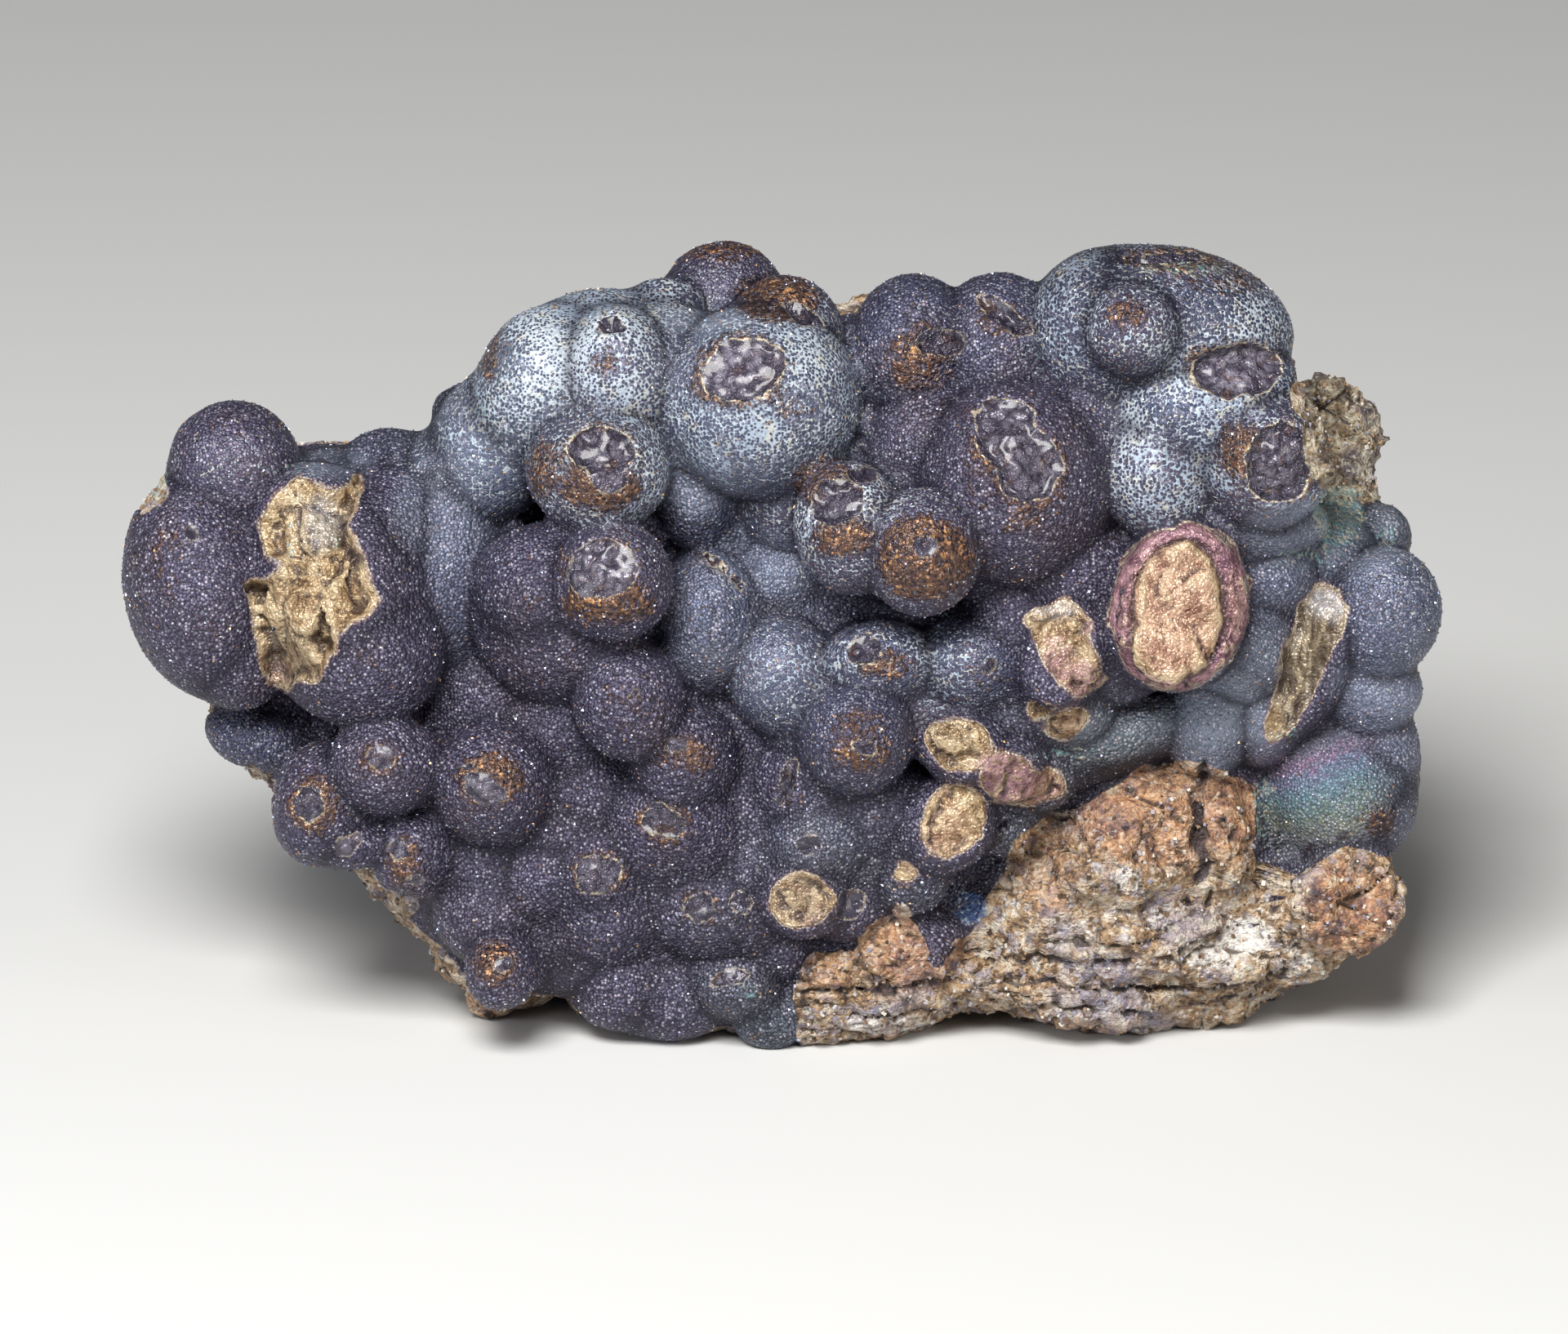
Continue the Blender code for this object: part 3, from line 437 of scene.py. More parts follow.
# %% Breaks that show brass
SCAR = (
    (-29.7, 30.2), (-29.3, 31.2), (-28.3, 32.1), (-27.4, 32.8), (-26.4, 32.5), (-25.6, 32.1),
    (-24.9, 32.1), (-23.9, 32.9), (-23.7, 32.1), (-24.1, 30.9), (-24.6, 30.2), (-24.1, 29.1),
    (-23.7, 27.5), (-23.0, 26.3), (-22.8, 25.8), (-23.9, 24.7), (-25.1, 24.0), (-25.2, 22.8),
    (-26.3, 21.4), (-27.6, 21.2), (-28.1, 20.5), (-28.8, 21.0), (-29.7, 22.8), (-29.8, 24.0),
    (-30.2, 26.1), (-30.3, 26.8), (-29.5, 27.2), (-28.3, 27.5), (-28.3, 28.0), (-29.3, 28.4),
)
SPLINTER = (
    (29.3, 25.6), (30.5, 26.6), (31.6, 26.5), (32.1, 25.6), (32.0, 24.2), (30.9, 22.4), (30.2, 20.5),
    (28.6, 18.0), (27.7, 17.8), (27.7, 19.1), (28.4, 21.9),
)
PETAL = (
    (13.7, 24.7), (14.1, 25.1), (15.1, 25.6), (16.2, 25.9), (16.9, 25.5), (17.5, 24.4), (17.5, 23.4),
    (17.8, 22.4), (18.2, 21.3), (17.5, 20.5), (16.5, 20.2), (15.6, 21.0), (14.9, 22.4), (14.2, 23.7),
)
BREAK_OUTLINES = (SCAR, SPLINTER, PETAL)
BREAK_OVALS = {
    # across, up, half width, half height, turn
    "big_disc": (22.5, 25.4, 3.8, 4.7, -12),
    "butter_shell": (10.0, 17.6, 1.95, 1.5, -15),
    "wine_shell": (12.8, 15.8, 1.4, 1.5, 0),
    "gold_shell": (9.7, 13.2, 1.75, 2.0, -25),
    "brass_cup": (1.1, 8.7, 1.75, 1.55, 0),
    "thimble": (7.0, 10.3, 0.7, 0.5, -20),
    "cup_pair_left": (14.6, 19.5, 0.6, 0.5, 0),
    "cup_pair_right": (16.2, 18.8, 1.2, 0.7, 20),
    "chips": (14.7, 15.2, 1.5, 0.9, 20),
}
SCAR_DEPTH = 0.6
BREAK_DEPTH = 0.25
# Colours inside breaks: across, up, half width, half height, share
ORANGE_SPOTS = (
    (22.2, 25.2, 2.5, 3.8, 1.0), (25.6, 25.6, 0.5, 1.8, 0.7), (9.4, 12.8, 1.2, 1.6, 0.5),
    (15.8, 21.6, 1.0, 1.0, 0.4), (1.1, 8.7, 1.4, 1.3, 0.35), (14.7, 15.2, 1.6, 1.0, 0.6),
    (16.3, 18.8, 1.0, 0.7, 0.5), (15.6, 12.2, 0.7, 0.6, 0.7),
)
WINE_SPOTS = (
    (12.9, 15.9, 1.9, 1.7, 0.95), (15.2, 14.9, 1.2, 1.0, 0.5), (15.6, 21.9, 0.9, 2.2, 0.7),
    (17.0, 21.2, 0.9, 1.2, 0.8), (8.6, 15.6, 1.0, 0.7, 0.5), (2.2, 7.4, 1.0, 0.6, 0.5),
    (8.0, 11.4, 0.8, 1.2, 0.5), (-28.6, 21.6, 0.7, 0.8, 0.4),
)
DISC_CORE = (22.2, 25.2, 2.6, 3.9, -6)
OLIVE_SPOTS = (
    (32.4, 35.0, 3.6, 4.4, 0.8), (-31.2, 14.6, 2.4, 4.4, 0.7), (-24.0, 7.4, 3.0, 1.6, 0.6),
    (30.0, 22.2, 2.2, 4.4, 0.95), (-26.2, 30.0, 1.3, 1.7, 0.9), (-27.8, 22.3, 1.7, 2.0, 0.5),
    (9.4, 18.3, 1.2, 0.7, 0.3), (1.1, 8.7, 1.7, 1.5, 0.5),
)
PALE_SPOTS = ((31.2, 25.7, 1.1, 0.9, 0.9), (-26.0, 30.2, 1.0, 1.5, 0.35), (15.3, 25.4, 1.4, 0.5, 0.6))
TEAL_SPOTS = (
    (-27.8, 29.6, 0.2, 1.9, 0.6), (-25.2, 29.6, 0.22, 0.9, 0.6), (-27.0, 31.6, 0.7, 0.2, 0.6),
    (-25.6, 26.0, 0.2, 0.9, 0.45), (-35.6, 32.6, 0.8, 1.2, 0.6), (32.6, 32.1, 0.9, 0.4, 0.7),
    (34.6, 29.4, 0.7, 0.9, 0.45), (31.7, 30.6, 1.7, 1.8, 0.7), (30.0, 28.3, 2.4, 0.7, 0.45),
    (22.6, 44.5, 2.8, 0.5, 0.5), (-27.6, 33.2, 2.0, 0.5, 0.4), (16.6, 17.0, 3.6, 0.5, 0.4),
    (-16.8, 36.6, 0.8, 0.5, 0.45), (-2.0, 3.6, 0.7, 0.5, 0.45), (-3.8, 26.6, 0.7, 0.3, 0.4),
    (27.6, 14.2, 0.8, 2.2, 0.5), (28.6, 18.2, 1.4, 0.5, 0.45),
)
# Pale grey-blue dust in sheltered places
BLOOM_SPOTS = (
    (24.6, 19.6, 3.0, 2.4, 0.9), (29.5, 29.6, 3.4, 2.2, 0.8), (33.4, 29.6, 2.4, 2.6, 0.7),
    (19.8, 18.3, 3.4, 1.4, 0.6), (-4.8, 32.6, 2.4, 2.2, 0.7), (33.6, 21.0, 2.4, 1.6, 0.6),
    (-19.0, 31.0, 3.0, 3.4, 0.5), (-1.6, 28.0, 2.6, 2.0, 0.5), (33.8, 17.0, 2.0, 3.0, 0.4),
    (-4.6, 41.6, 3.0, 0.8, 1.0), (1.8, 40.4, 0.8, 1.6, 0.6), (-25.4, 33.6, 2.2, 0.9, 0.8),
)
AZURE_SPOTS = ((10.8, 8.2, 1.0, 0.95, 1.0), (9.9, 9.0, 0.6, 0.4, 0.6), (-29.0, 28.0, 0.9, 0.25, 0.6))
# Narrow cracks, cut in and darkened with painted shade: how wide and how deep in mm, then the points that
# each runs through
CRACKS = {
    "scar_crevice": (0.32, 0.7, (-24.8, 30.0), (-24.3, 28.7), (-23.4, 26.6)),
    "slab_foot": (0.22, 0.55, (10.6, 5.0), (14.5, 5.4), (18.0, 5.1), (23.6, 5.4)),
    "long_layer": (0.26, 0.65, (0.8, 3.3), (5.7, 3.6), (12.6, 4.3), (18.7, 3.7), (24.4, 3.6), (29.0, 4.4)),
    "low_layer": (0.2, 0.45, (4.0, 1.9), (9.0, 2.3), (15.2, 2.5), (21.0, 2.1)),
    "rib_groove": (0.55, 0.9, (23.9, 16.2), (23.6, 13.6), (24.0, 10.8), (23.2, 8.6)),
    "rib_streak": (0.3, 0.35, (26.0, 13.0), (25.4, 10.6), (24.2, 7.6)),
    "slab_chip": (0.2, 0.35, (16.4, 13.6), (17.4, 11.6), (16.6, 9.8)),
    "corner_lobe_edge": (0.4, 0.6, (28.3, 8.4), (29.0, 10.4), (30.6, 12.2), (32.6, 12.6)),
    "mound_edge": (0.3, 0.5, (4.4, 6.6), (4.7, 4.6), (6.4, 3.4)),
}
print(len(WINDOWS) + 1, "windows,", len(BREAK_OUTLINES) + len(BREAK_OVALS), "breaks")

# %% Rusty caps: across, up, half width, half height, share
RUST_CAPS = (
    (-3.6, 46.0, 3.0, 1.0, 0.6), (-0.3, 43.0, 2.6, 1.5, 0.8), (-2.6, 38.8, 3.1, 2.3, 0.35),
    (0.8, 36.7, 1.5, 1.2, 0.5), (-10.0, 39.3, 0.9, 1.0, 0.6), (-10.3, 32.1, 2.4, 1.3, 0.9),
    (-13.5, 33.2, 1.0, 1.9, 0.75), (8.0, 39.5, 2.2, 2.0, 0.6), (12.6, 41.6, 1.8, 1.4, 0.35),
    (13.1, 32.6, 3.2, 3.2, 0.35), (9.9, 36.7, 1.3, 1.0, 0.4), (19.4, 42.0, 1.3, 0.9, 0.8),
    (22.4, 45.0, 3.6, 1.0, 0.6), (25.1, 43.9, 2.4, 1.2, 0.6), (23.1, 39.5, 1.2, 1.0, 0.4),
    (25.6, 34.4, 1.2, 1.6, 0.7), (2.5, 32.5, 2.0, 1.6, 0.7), (3.6, 29.3, 1.9, 1.2, 0.9),
    (8.0, 28.2, 2.8, 2.4, 1.0), (-9.8, 25.6, 2.9, 1.3, 0.85), (-12.4, 27.9, 0.8, 1.3, 0.6),
    (-13.5, 25.8, 1.0, 1.4, 0.4), (-4.0, 24.7, 1.6, 1.6, 0.3), (5.9, 22.1, 1.7, 1.0, 0.7),
    (11.9, 21.2, 1.2, 1.1, 0.4), (4.3, 18.0, 2.2, 2.0, 0.5), (-8.4, 20.0, 2.4, 2.6, 0.35),
    (-5.4, 17.0, 2.0, 1.3, 0.5), (-16.5, 15.7, 2.0, 1.7, 0.75), (-22.6, 17.0, 1.3, 1.2, 0.4),
    (-26.5, 14.3, 1.7, 1.9, 0.7), (-21.6, 11.0, 1.2, 1.6, 0.55), (-10.3, 10.3, 1.8, 1.3, 0.55),
    (-6.6, 13.1, 1.9, 1.4, 0.5), (-16.4, 5.2, 1.3, 1.4, 0.65), (-7.7, 2.2, 1.0, 0.7, 0.4),
    (-4.7, 8.5, 1.3, 1.1, 0.4), (-34.8, 27.9, 1.2, 2.4, 0.4), (-30.4, 36.0, 2.4, 1.0, 0.45),
    (-23.2, 22.8, 1.4, 1.4, 0.35), (33.9, 25.8, 1.6, 1.8, 0.3), (34.2, 13.2, 1.1, 1.1, 0.75),
    (-16.6, 40.0, 1.0, 2.0, 0.7), (0.8, 15.2, 1.4, 1.4, 0.4), (-9.0, 23.3, 2.2, 0.6, 0.4),
    (7.2, 10.0, 1.0, 0.9, 0.5), (-32.0, 31.4, 2.0, 0.7, 0.3),
)
print(len(RUST_CAPS), "rusty caps")

# %% [markdown]
# ## Bare rock
# Low on the right the whole front has broken away and shows the rock itself, in near-level layers. The
# back, the underside and a strip along the lower left are bare as well.

# %% Where the rock is bare
BARE_FRONT = (
    (8.9, 4.8), (7.0, 8.4), (4.8, 7.4), (4.3, 5.7), (1.6, 5.8), (0.6, 4.0), (1.0, -1.5), (20.0, -2.5),
    (33.5, 1.0), (35.6, 5.0), (36.2, 9.5), (35.0, 11.3), (32.2, 11.7), (30.0, 10.4), (28.2, 8.5),
    (27.0, 10.0), (27.2, 15.2), (25.6, 15.9), (24.2, 16.6), (21.9, 16.8), (18.7, 15.2), (15.4, 13.4),
    (13.4, 12.6), (12.6, 10.6), (11.2, 7.4),
)
BARE_PATCHES = (
    # across, up, half width, half height
    (32.6, 35.0, 3.2, 3.9), (30.4, 37.3, 1.8, 1.8), (-30.2, 13.6, 1.3, 3.0), (-22.9, 8.4, 2.4, 1.0),
    (-36.2, 32.4, 1.1, 1.6),
)
SKIN_BACK = -1.6
# Warm fractured masses and white quartz in the rock: across, up, half width, half height, share
OCHRE_SPOTS = (
    (21.5, 13.6, 5.0, 3.0, 0.85), (25.6, 13.6, 1.7, 2.6, 1.0), (32.4, 8.3, 2.7, 2.9, 0.95),
    (7.6, 5.9, 3.2, 2.2, 0.8), (2.6, 4.6, 1.6, 1.4, 0.75), (15.0, 10.6, 1.8, 2.6, 0.6),
    (20.2, 14.4, 1.6, 0.8, 1.0), (12.0, 1.2, 8.0, 0.9, 0.35), (-31.2, 14.6, 2.4, 4.4, 0.3),
    (-24.0, 7.4, 3.0, 1.6, 0.3), (-17.5, 2.6, 2.4, 1.2, 0.6),
)
QUARTZ_SPOTS = (
    (26.6, 6.7, 1.5, 1.1, 1.0), (19.6, 9.9, 1.0, 0.9, 0.7), (24.6, 5.6, 2.2, 1.0, 0.7),
    (29.2, 5.2, 1.6, 1.4, 0.5), (6.0, 1.6, 3.0, 0.8, 0.6), (28.6, 8.2, 1.2, 1.0, 0.4),
    (17.2, 7.2, 1.2, 0.8, 0.5), (21.3, 7.8, 0.8, 0.8, 0.5),
)
LAYERS_ABOVE = 4.4
GRIT_BELOW = 39.0

# %% [markdown]
# ## Noise to work with
# Nature's unevenness comes from two simple sources, written here so that they give the same numbers on
# every machine: smooth waves of random height, and cells that each have a centre, an edge and a random
# value of their own, as grains have.


# %% Smooth noise and cells
SEED_SHIFT = 17.3


def corner_value(x, y, z, seed):
    """A repeatable random number from 0 to 1 at each whole-number corner."""
    mixed = (x * 374761393 + y * 668265263 + z * 1440662683 + seed * 974634777) & 0xFFFFFFFF
    mixed = ((mixed ^ (mixed >> 13)) * 1274126177) & 0xFFFFFFFF
    mixed = ((mixed ^ (mixed >> 15)) * 2246822519) & 0xFFFFFFFF
    return ((mixed ^ (mixed >> 16)) & 0xFFFF) / 65535.0


def waves(points, per_mm, seed, octaves=1):
    """Smooth noise from about -1 to 1."""
    total = np.zeros(len(points))
    for octave in range(octaves):
        at = points * per_mm * 2**octave + SEED_SHIFT * seed
        base = np.floor(at).astype(np.int64)
        part = at - base
        ease = part * part * (3 - 2 * part)
        value = np.zeros(len(points))
        for corner in itertools.product((0, 1), repeat=3):
            x, y, z = np.where(corner, ease, 1 - ease).T
            value += x * y * z * corner_value(*(base + corner).T, seed + octave)
        total += 0.5**octave * (2 * value - 1)
    return total


def grains(points, per_mm, seed):
    """Distances to the nearest and second nearest grain centre, in cells, and the grain's own value
    and tilt, which is how high a facet through the centre stands here."""
    at = points * per_mm
    base = np.floor(at).astype(np.int64)
    nearest, second = np.full((2, len(points)), 9.0)
    own, tilt = np.zeros((2, len(points)))
    for step in itertools.product((-1, 0, 1), repeat=3):
        cell = base + step
        centre = cell + np.stack([corner_value(*cell.T, seed + axis) for axis in range(3)], axis=1)
        from_centre = at - centre
        away = np.linalg.norm(from_centre, axis=1)
        value = corner_value(*cell.T, seed + 7)
        turn = 2 * math.pi * value
        lean = from_centre[:, 0] * np.cos(turn) + from_centre[:, 1] * np.sin(turn)
        closer = away < nearest
        second = np.where(closer, nearest, np.minimum(second, away))
        nearest = np.where(closer, away, nearest)
        own = np.where(closer, value, own)
        tilt = np.where(closer, lean, tilt)
    return nearest, second, own, tilt


def facets(points, per_mm, seed, lift, slant, seam, seam_width):
    """Flat facets at random heights and slants, with a narrow seam between each two."""
    near, next_near, own, tilt = grains(points, per_mm, seed)
    return lift * (own - 0.5) + slant * tilt - seam * rise(seam_width, 0.0, next_near - near)


def rise(low, high, value):
    """0 below low, 1 above high and a soft step between them, also with low above high."""
    part = np.clip((value - low) / (high - low), 0.0, 1.0)
    return part * part * (3 - 2 * part)


print("waves at three places:", np.round(waves(np.eye(3), 0.7, 1), 2))

# %% [markdown]
# ## Distances to shapes
# A shape drawn on the face is used through its distance: below 0 inside, above 0 outside. That lets one
# outline give a wall, a rim line and a colour edge that always agree.


# %% Ovals and outlines as distances
def oval_distance(across, up, oval):
    """Millimetres outside an oval given as across, up, half width, half height and, if any, turn."""
    middle_across, middle_up, half_width, half_height, turn = (*oval, 0)[:5]
    angle = math.radians(turn)
    x = (across - middle_across) * math.cos(angle) + (up - middle_up) * math.sin(angle)
    y = (up - middle_up) * math.cos(angle) - (across - middle_across) * math.sin(angle)
    k0 = np.hypot(x / half_width, y / half_height) + 1e-9
    k1 = np.hypot(x / half_width**2, y / half_height**2) + 1e-9
    return k0 * (k0 - 1) / k1


def spots(across, up, ovals, soft=0.35):
    """The strongest share of a list of soft ovals: across, up, half width, half height, share."""
    most = np.zeros(len(across))
    for *oval, share in ovals:
        most = np.maximum(most, share * rise(soft, -soft, oval_distance(across, up, oval)))
    return most


def line_distance(across, up, stops):
    """Millimetres from an open line of straight runs."""
    points = np.stack([across, up], axis=1)
    nearest = np.full(len(points), 1e9)
    for start, end in zip(np.array(stops[:-1]), np.array(stops[1:])):
        run = end - start
        along = np.clip((points - start) @ run / (run @ run), 0, 1)
        nearest = np.minimum(nearest, np.linalg.norm(points - start - along[:, None] * run, axis=1))
    return nearest


def outline_distance(across, up, outline):
    """Millimetres outside a closed outline of straight runs."""
    inside = np.zeros(len(across), bool)
    ring = (*outline, outline[0])
    for (x, y), (next_x, next_y) in zip(ring, ring[1:]):
        crosses = (y > up) != (next_y > up)
        inside ^= crosses & (across < x + (up - y) * (next_x - x) / (next_y - y or 1e-9))
    nearest = line_distance(across, up, ring)
    return np.where(inside, -nearest, nearest)


print("mm from the foot to the scar:", np.round(outline_distance(np.zeros(1), np.zeros(1), SCAR), 1))

# %% [markdown]
# ## One surface over all the lobes
# The fused surface is where a soft minimum of the distances to all lobes is zero: lobes stay round, and
# where two meet, the crease gets a small fillet. We also keep how close the second lobe is, because the
# paint lays painted shade into the creases there.


# %% The soft union of the lobes
ROOT = 2.2  # a lobe is this much longer behind its middle than in front, as a column that grew outwards
FILLET = 0.30
# Where lobes melt into each other more: across, up, half width, half height, extra fillet in mm
MELTED = (
    (-12.0, 9.5, 11.0, 7.5, 0.25), (-18.0, 17.5, 5.0, 3.5, 0.25), (-10.5, 37.5, 8.0, 5.5, 0.22),
    (3.0, 13.0, 8.0, 6.0, 0.30), (-21.0, 29.0, 4.0, 6.0, 0.35), (20.0, 19.0, 9.0, 4.0, 0.25),
    (22.0, 37.0, 7.0, 8.0, 0.15), (31.0, 16.0, 6.0, 6.0, 0.25),
)
REACH = 2.4
BLEND = 0.5


def lobe_parts():
    """Name, centre, half sizes, turn, cutting plane and root of each lobe."""
    for name, values in [*LOBES.items(), *((n, v[0]) for n, v in SNAPPED.items())]:
        across, up, front, half_width, half_height, turn = (*values, 0)[:6]
        depth = (half_width + half_height) / 2
        cut = None
        if name in SNAPPED:
            _, break_depth, facing = SNAPPED[name]
            normal = np.array((*facing, 1.0))
            normal /= np.linalg.norm(normal)
            cut = (np.array((across, up, front - break_depth)), normal)
        yield name, (across, up, front - depth), (half_width, half_height, depth), turn, cut, ROOT
    for name, (across, up, front, half_width, half_height, depth) in SWELLS.items():
        yield name, (across, up, front - depth), (half_width, half_height, depth), 0, None, 1.0


def one_lobe(points, centre, radii, turn, cut, root):
    """The points near one lobe, their distances to it, and the way out of it."""
    local = points - np.array(centre)
    near = np.flatnonzero((local**2).sum(1) < (max(radii) * root + REACH) ** 2)
    angle = math.radians(turn)
    axes = np.array(
        ((math.cos(angle), -math.sin(angle), 0), (math.sin(angle), math.cos(angle), 0), (0, 0, 1))
    )
    radii = np.tile(radii, (len(near), 1))
    radii[:, 2] *= np.where(local[near, 2] < 0, root, 1.0)
    scaled = (local[near] @ axes) / radii
    k0 = np.linalg.norm(scaled, axis=1) + 1e-9
    k1 = np.linalg.norm(scaled / radii, axis=1) + 1e-9
    away = k0 * (k0 - 1) / k1
    out = ((scaled / radii) / k1[:, None]) @ axes.T
    if cut:
        beyond = (points[near] - cut[0]) @ cut[1]
        out = np.where((beyond > away)[:, None], cut[1], out)
        away = np.maximum(away, beyond)
    return near, away, out


def lobe_surface(points):
    """Distance outside the fused lobes, the way out, and the gap between the two nearest lobes."""
    total = np.zeros(len(points))
    slope = np.zeros((len(points), 3))
    first, second = np.full((2, len(points)), REACH)
    fillet = FILLET + spots(points[:, 0], points[:, 1], MELTED, 2.5)
    for _, *lobe in lobe_parts():
        near, away, out = one_lobe(points, *lobe)
        weight = np.exp(np.clip(-away / fillet[near], -50, 50))
        total[near] += weight
        slope[near] += weight[:, None] * out
        closer = away < first[near]
        second[near] = np.where(closer, first[near], np.minimum(second[near], away))
        first[near] = np.where(closer, away, first[near])
    slope /= np.linalg.norm(slope, axis=1)[:, None] + 1e-12
    distance = np.where(total > 0, -fillet * np.log(total + 1e-30), REACH)
    return np.minimum(distance, REACH), slope, second - first


def lobe_finishes(points):
    """A blend of the lobes' own shares at each point, for each finish."""
    total = np.full(len(points), 1e-9)
    mixed = np.zeros((len(FINISHES), len(points)))
    for name, *lobe in lobe_parts():
        near, away, _ = one_lobe(points, *lobe)
        weight = np.exp(np.clip(-away / BLEND, -50, 8))
        total[near] += weight
        for row, share in zip(mixed, SHARES.get(name, ())):
            row[near] += weight * share
    return dict(zip(FINISHES, mixed / total))


print("shapes in the union:", sum(1 for _ in lobe_parts()))

# %% [markdown]
# ## The fine mesh
# We take a copy of the measured solid, rebuild it in small even cells with a voxel remesh, and slide
# each point along the slope until it lies on the soft union. Rock keeps the solid's own lumps. A sculpt
# could do the same by hand, but a formula keeps every lobe where the list says.

# %% Remesh the solid
CELL = 0.22
SOFTENING = 0.5, 4
SAME_POINT = 1e-6


def worked_in(thing):
    """The object's mesh with all its modifiers worked in."""
    bpy.context.view_layer.update()
    graph = bpy.context.evaluated_depsgraph_get()
    return bpy.data.meshes.new_from_object(thing.evaluated_get(graph))


def finely_remeshed():
    bm = bmesh.new()
    bm.from_mesh(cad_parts[NODE].data)
    bmesh.ops.remove_doubles(bm, verts=bm.verts, dist=SAME_POINT)
    thing = new_object("fine", mesh_from(bm, "fine"))
    remesh = thing.modifiers.new("even_cells", "REMESH")
    remesh.mode = "VOXEL"
    remesh.voxel_size = CELL * MM
    soften = thing.modifiers.new("soften", "SMOOTH")
    soften.factor, soften.iterations = SOFTENING
    thing.data = worked_in(thing)
    thing.modifiers.clear()
    return thing


stone = finely_remeshed()
print("fine mesh:", len(stone.data.vertices), "points")


# %% Slide the points onto the lobes
def read_points(mesh):
    flat = np.empty(len(mesh.vertices) * 3)
    mesh.vertices.foreach_get("co", flat)
    return room_to_face(flat.reshape(-1, 3))


def write_points(mesh, points):
    mesh.vertices.foreach_set("co", face_to_room(points).ravel())
    mesh.update()


def read_normals(mesh):
    """The normals, turned into the face's directions."""
    flat = np.empty(len(mesh.vertices) * 3)
    mesh.vertex_normals.foreach_get("vector", flat)
    turn = np.array(FACE)[:3, :3] / MM
    return flat.reshape(-1, 3) @ turn


def bareness(points):
    """1 on bare rock and 0 on the tarnished skin."""
    across, up, out = points.T
    ragged = 0.35 * waves(points, 0.6, 3, 2)
    front = rise(0.25, -0.25, outline_distance(across, up, BARE_FRONT) + ragged)
    bare = np.maximum(front * rise(-2.0, -1.0, out), rise(SKIN_BACK + 0.8, SKIN_BACK - 0.8, out + ragged))
    for patch in BARE_PATCHES:
        bare = np.maximum(bare, rise(0.3, -0.3, oval_distance(across, up, patch) + ragged))
    return bare


def slide_onto_lobes(mesh, rounds=3):
    points = read_points(mesh)
    free = 1.0 - bareness(points)
    for _ in range(rounds):
        distance, slope, _ = lobe_surface(points)
        pull = free * rise(1.3, 0.7, np.abs(distance))
        points -= slope * np.clip(distance * pull, -0.5, 0.5)[:, None]
    write_points(mesh, points)
    distance, _, _ = lobe_surface(points)
    return np.abs(distance[free > 0.9]).mean()


print("mean gap left to the lobes, in mm:", round(slide_onto_lobes(stone.data), 3))

# %% [markdown]
# ## Relief
# Now the surface gets what a fingertip would feel: gentle unevenness of the skin, sunk windows with
# thin raised lips and a blistered lining, hackly brass in the breaks, and layered, angular rock. Each
# one is a movement along the normal, worked out for all points at once.


# %% Distances to windows and breaks
RAGGED = 0.27


def ragged_place(points):
    """Across and up, shaken a little so that no edge is a perfect curve."""
    across = points[:, 0] + RAGGED * waves(points, 1.0, 11, 3)
    up = points[:, 1] + RAGGED * waves(points, 1.0, 23, 3)
    return across, up


def window_distance(points):
    """Distance to the nearest window's edge, and that window's depth, rim and darkness."""
    across, up = ragged_place(points)
    nearest = outline_distance(across, up, BELLY_WINDOW)
    looks = [np.full(len(points), value) for value in BELLY_WINDOW_LOOKS]
    for window in WINDOWS.values():
        away = oval_distance(across, up, window[:5])
        closer = away < nearest
        looks = [np.where(closer, new, old) for new, old in zip(window[5:], looks)]
        nearest = np.minimum(nearest, away)
    return nearest, *looks


def break_distance(points):
    """Distance to the nearest break's edge."""
    across, up = ragged_place(points)
    nearest = np.full(len(points), 9.0)
    for outline in BREAK_OUTLINES:
        nearest = np.minimum(nearest, outline_distance(across, up, outline))
    for oval in BREAK_OVALS.values():
        nearest = np.minimum(nearest, oval_distance(across, up, oval))
    return nearest


# %% What the skin, the windows, the breaks and the rock do
def window_relief(points):
    """A raised torn lip, a steep wall and a blistered lining."""
    edge, depth, rim, _ = window_distance(points)
    sunk = rise(0.05, -0.38, edge)
    lip = np.exp(-(((edge - 0.2) / 0.17) ** 2)) * (0.3 + rim)
    near, _, _, _ = grains(points, 1.5, 31)
    blisters = 0.2 * (1.0 - np.minimum(near / 0.8, 1.0) ** 2) + 0.16 * waves(points, 0.8, 9, 2)
    return 0.09 * lip - sunk * depth * 0.9 + sunk * blisters


def brass_relief(points):
    """Torn metal: flat facets that meet in sharp folds, with fine steps on them."""
    bent = points + 0.4 * waves(points, 0.5, 40, 2)[:, None]
    torn = facets(bent * (1.0, 0.7, 1.0), 0.42, 41, lift=0.4, slant=0.95, seam=0.12, seam_width=0.08)
    folds = np.abs(waves(bent * (1.0, 0.6, 1.0), 0.7, 45, 2))
    return torn - 0.30 * rise(0.16, 0.0, folds) + 0.05 * waves(points, 1.7, 43, 2)


def core_distance(points):
    """Distance to the edge of the raised core of the largest break."""
    return oval_distance(*ragged_place(points), DISC_CORE) + 0.3 * waves(points, 0.45, 47, 2)


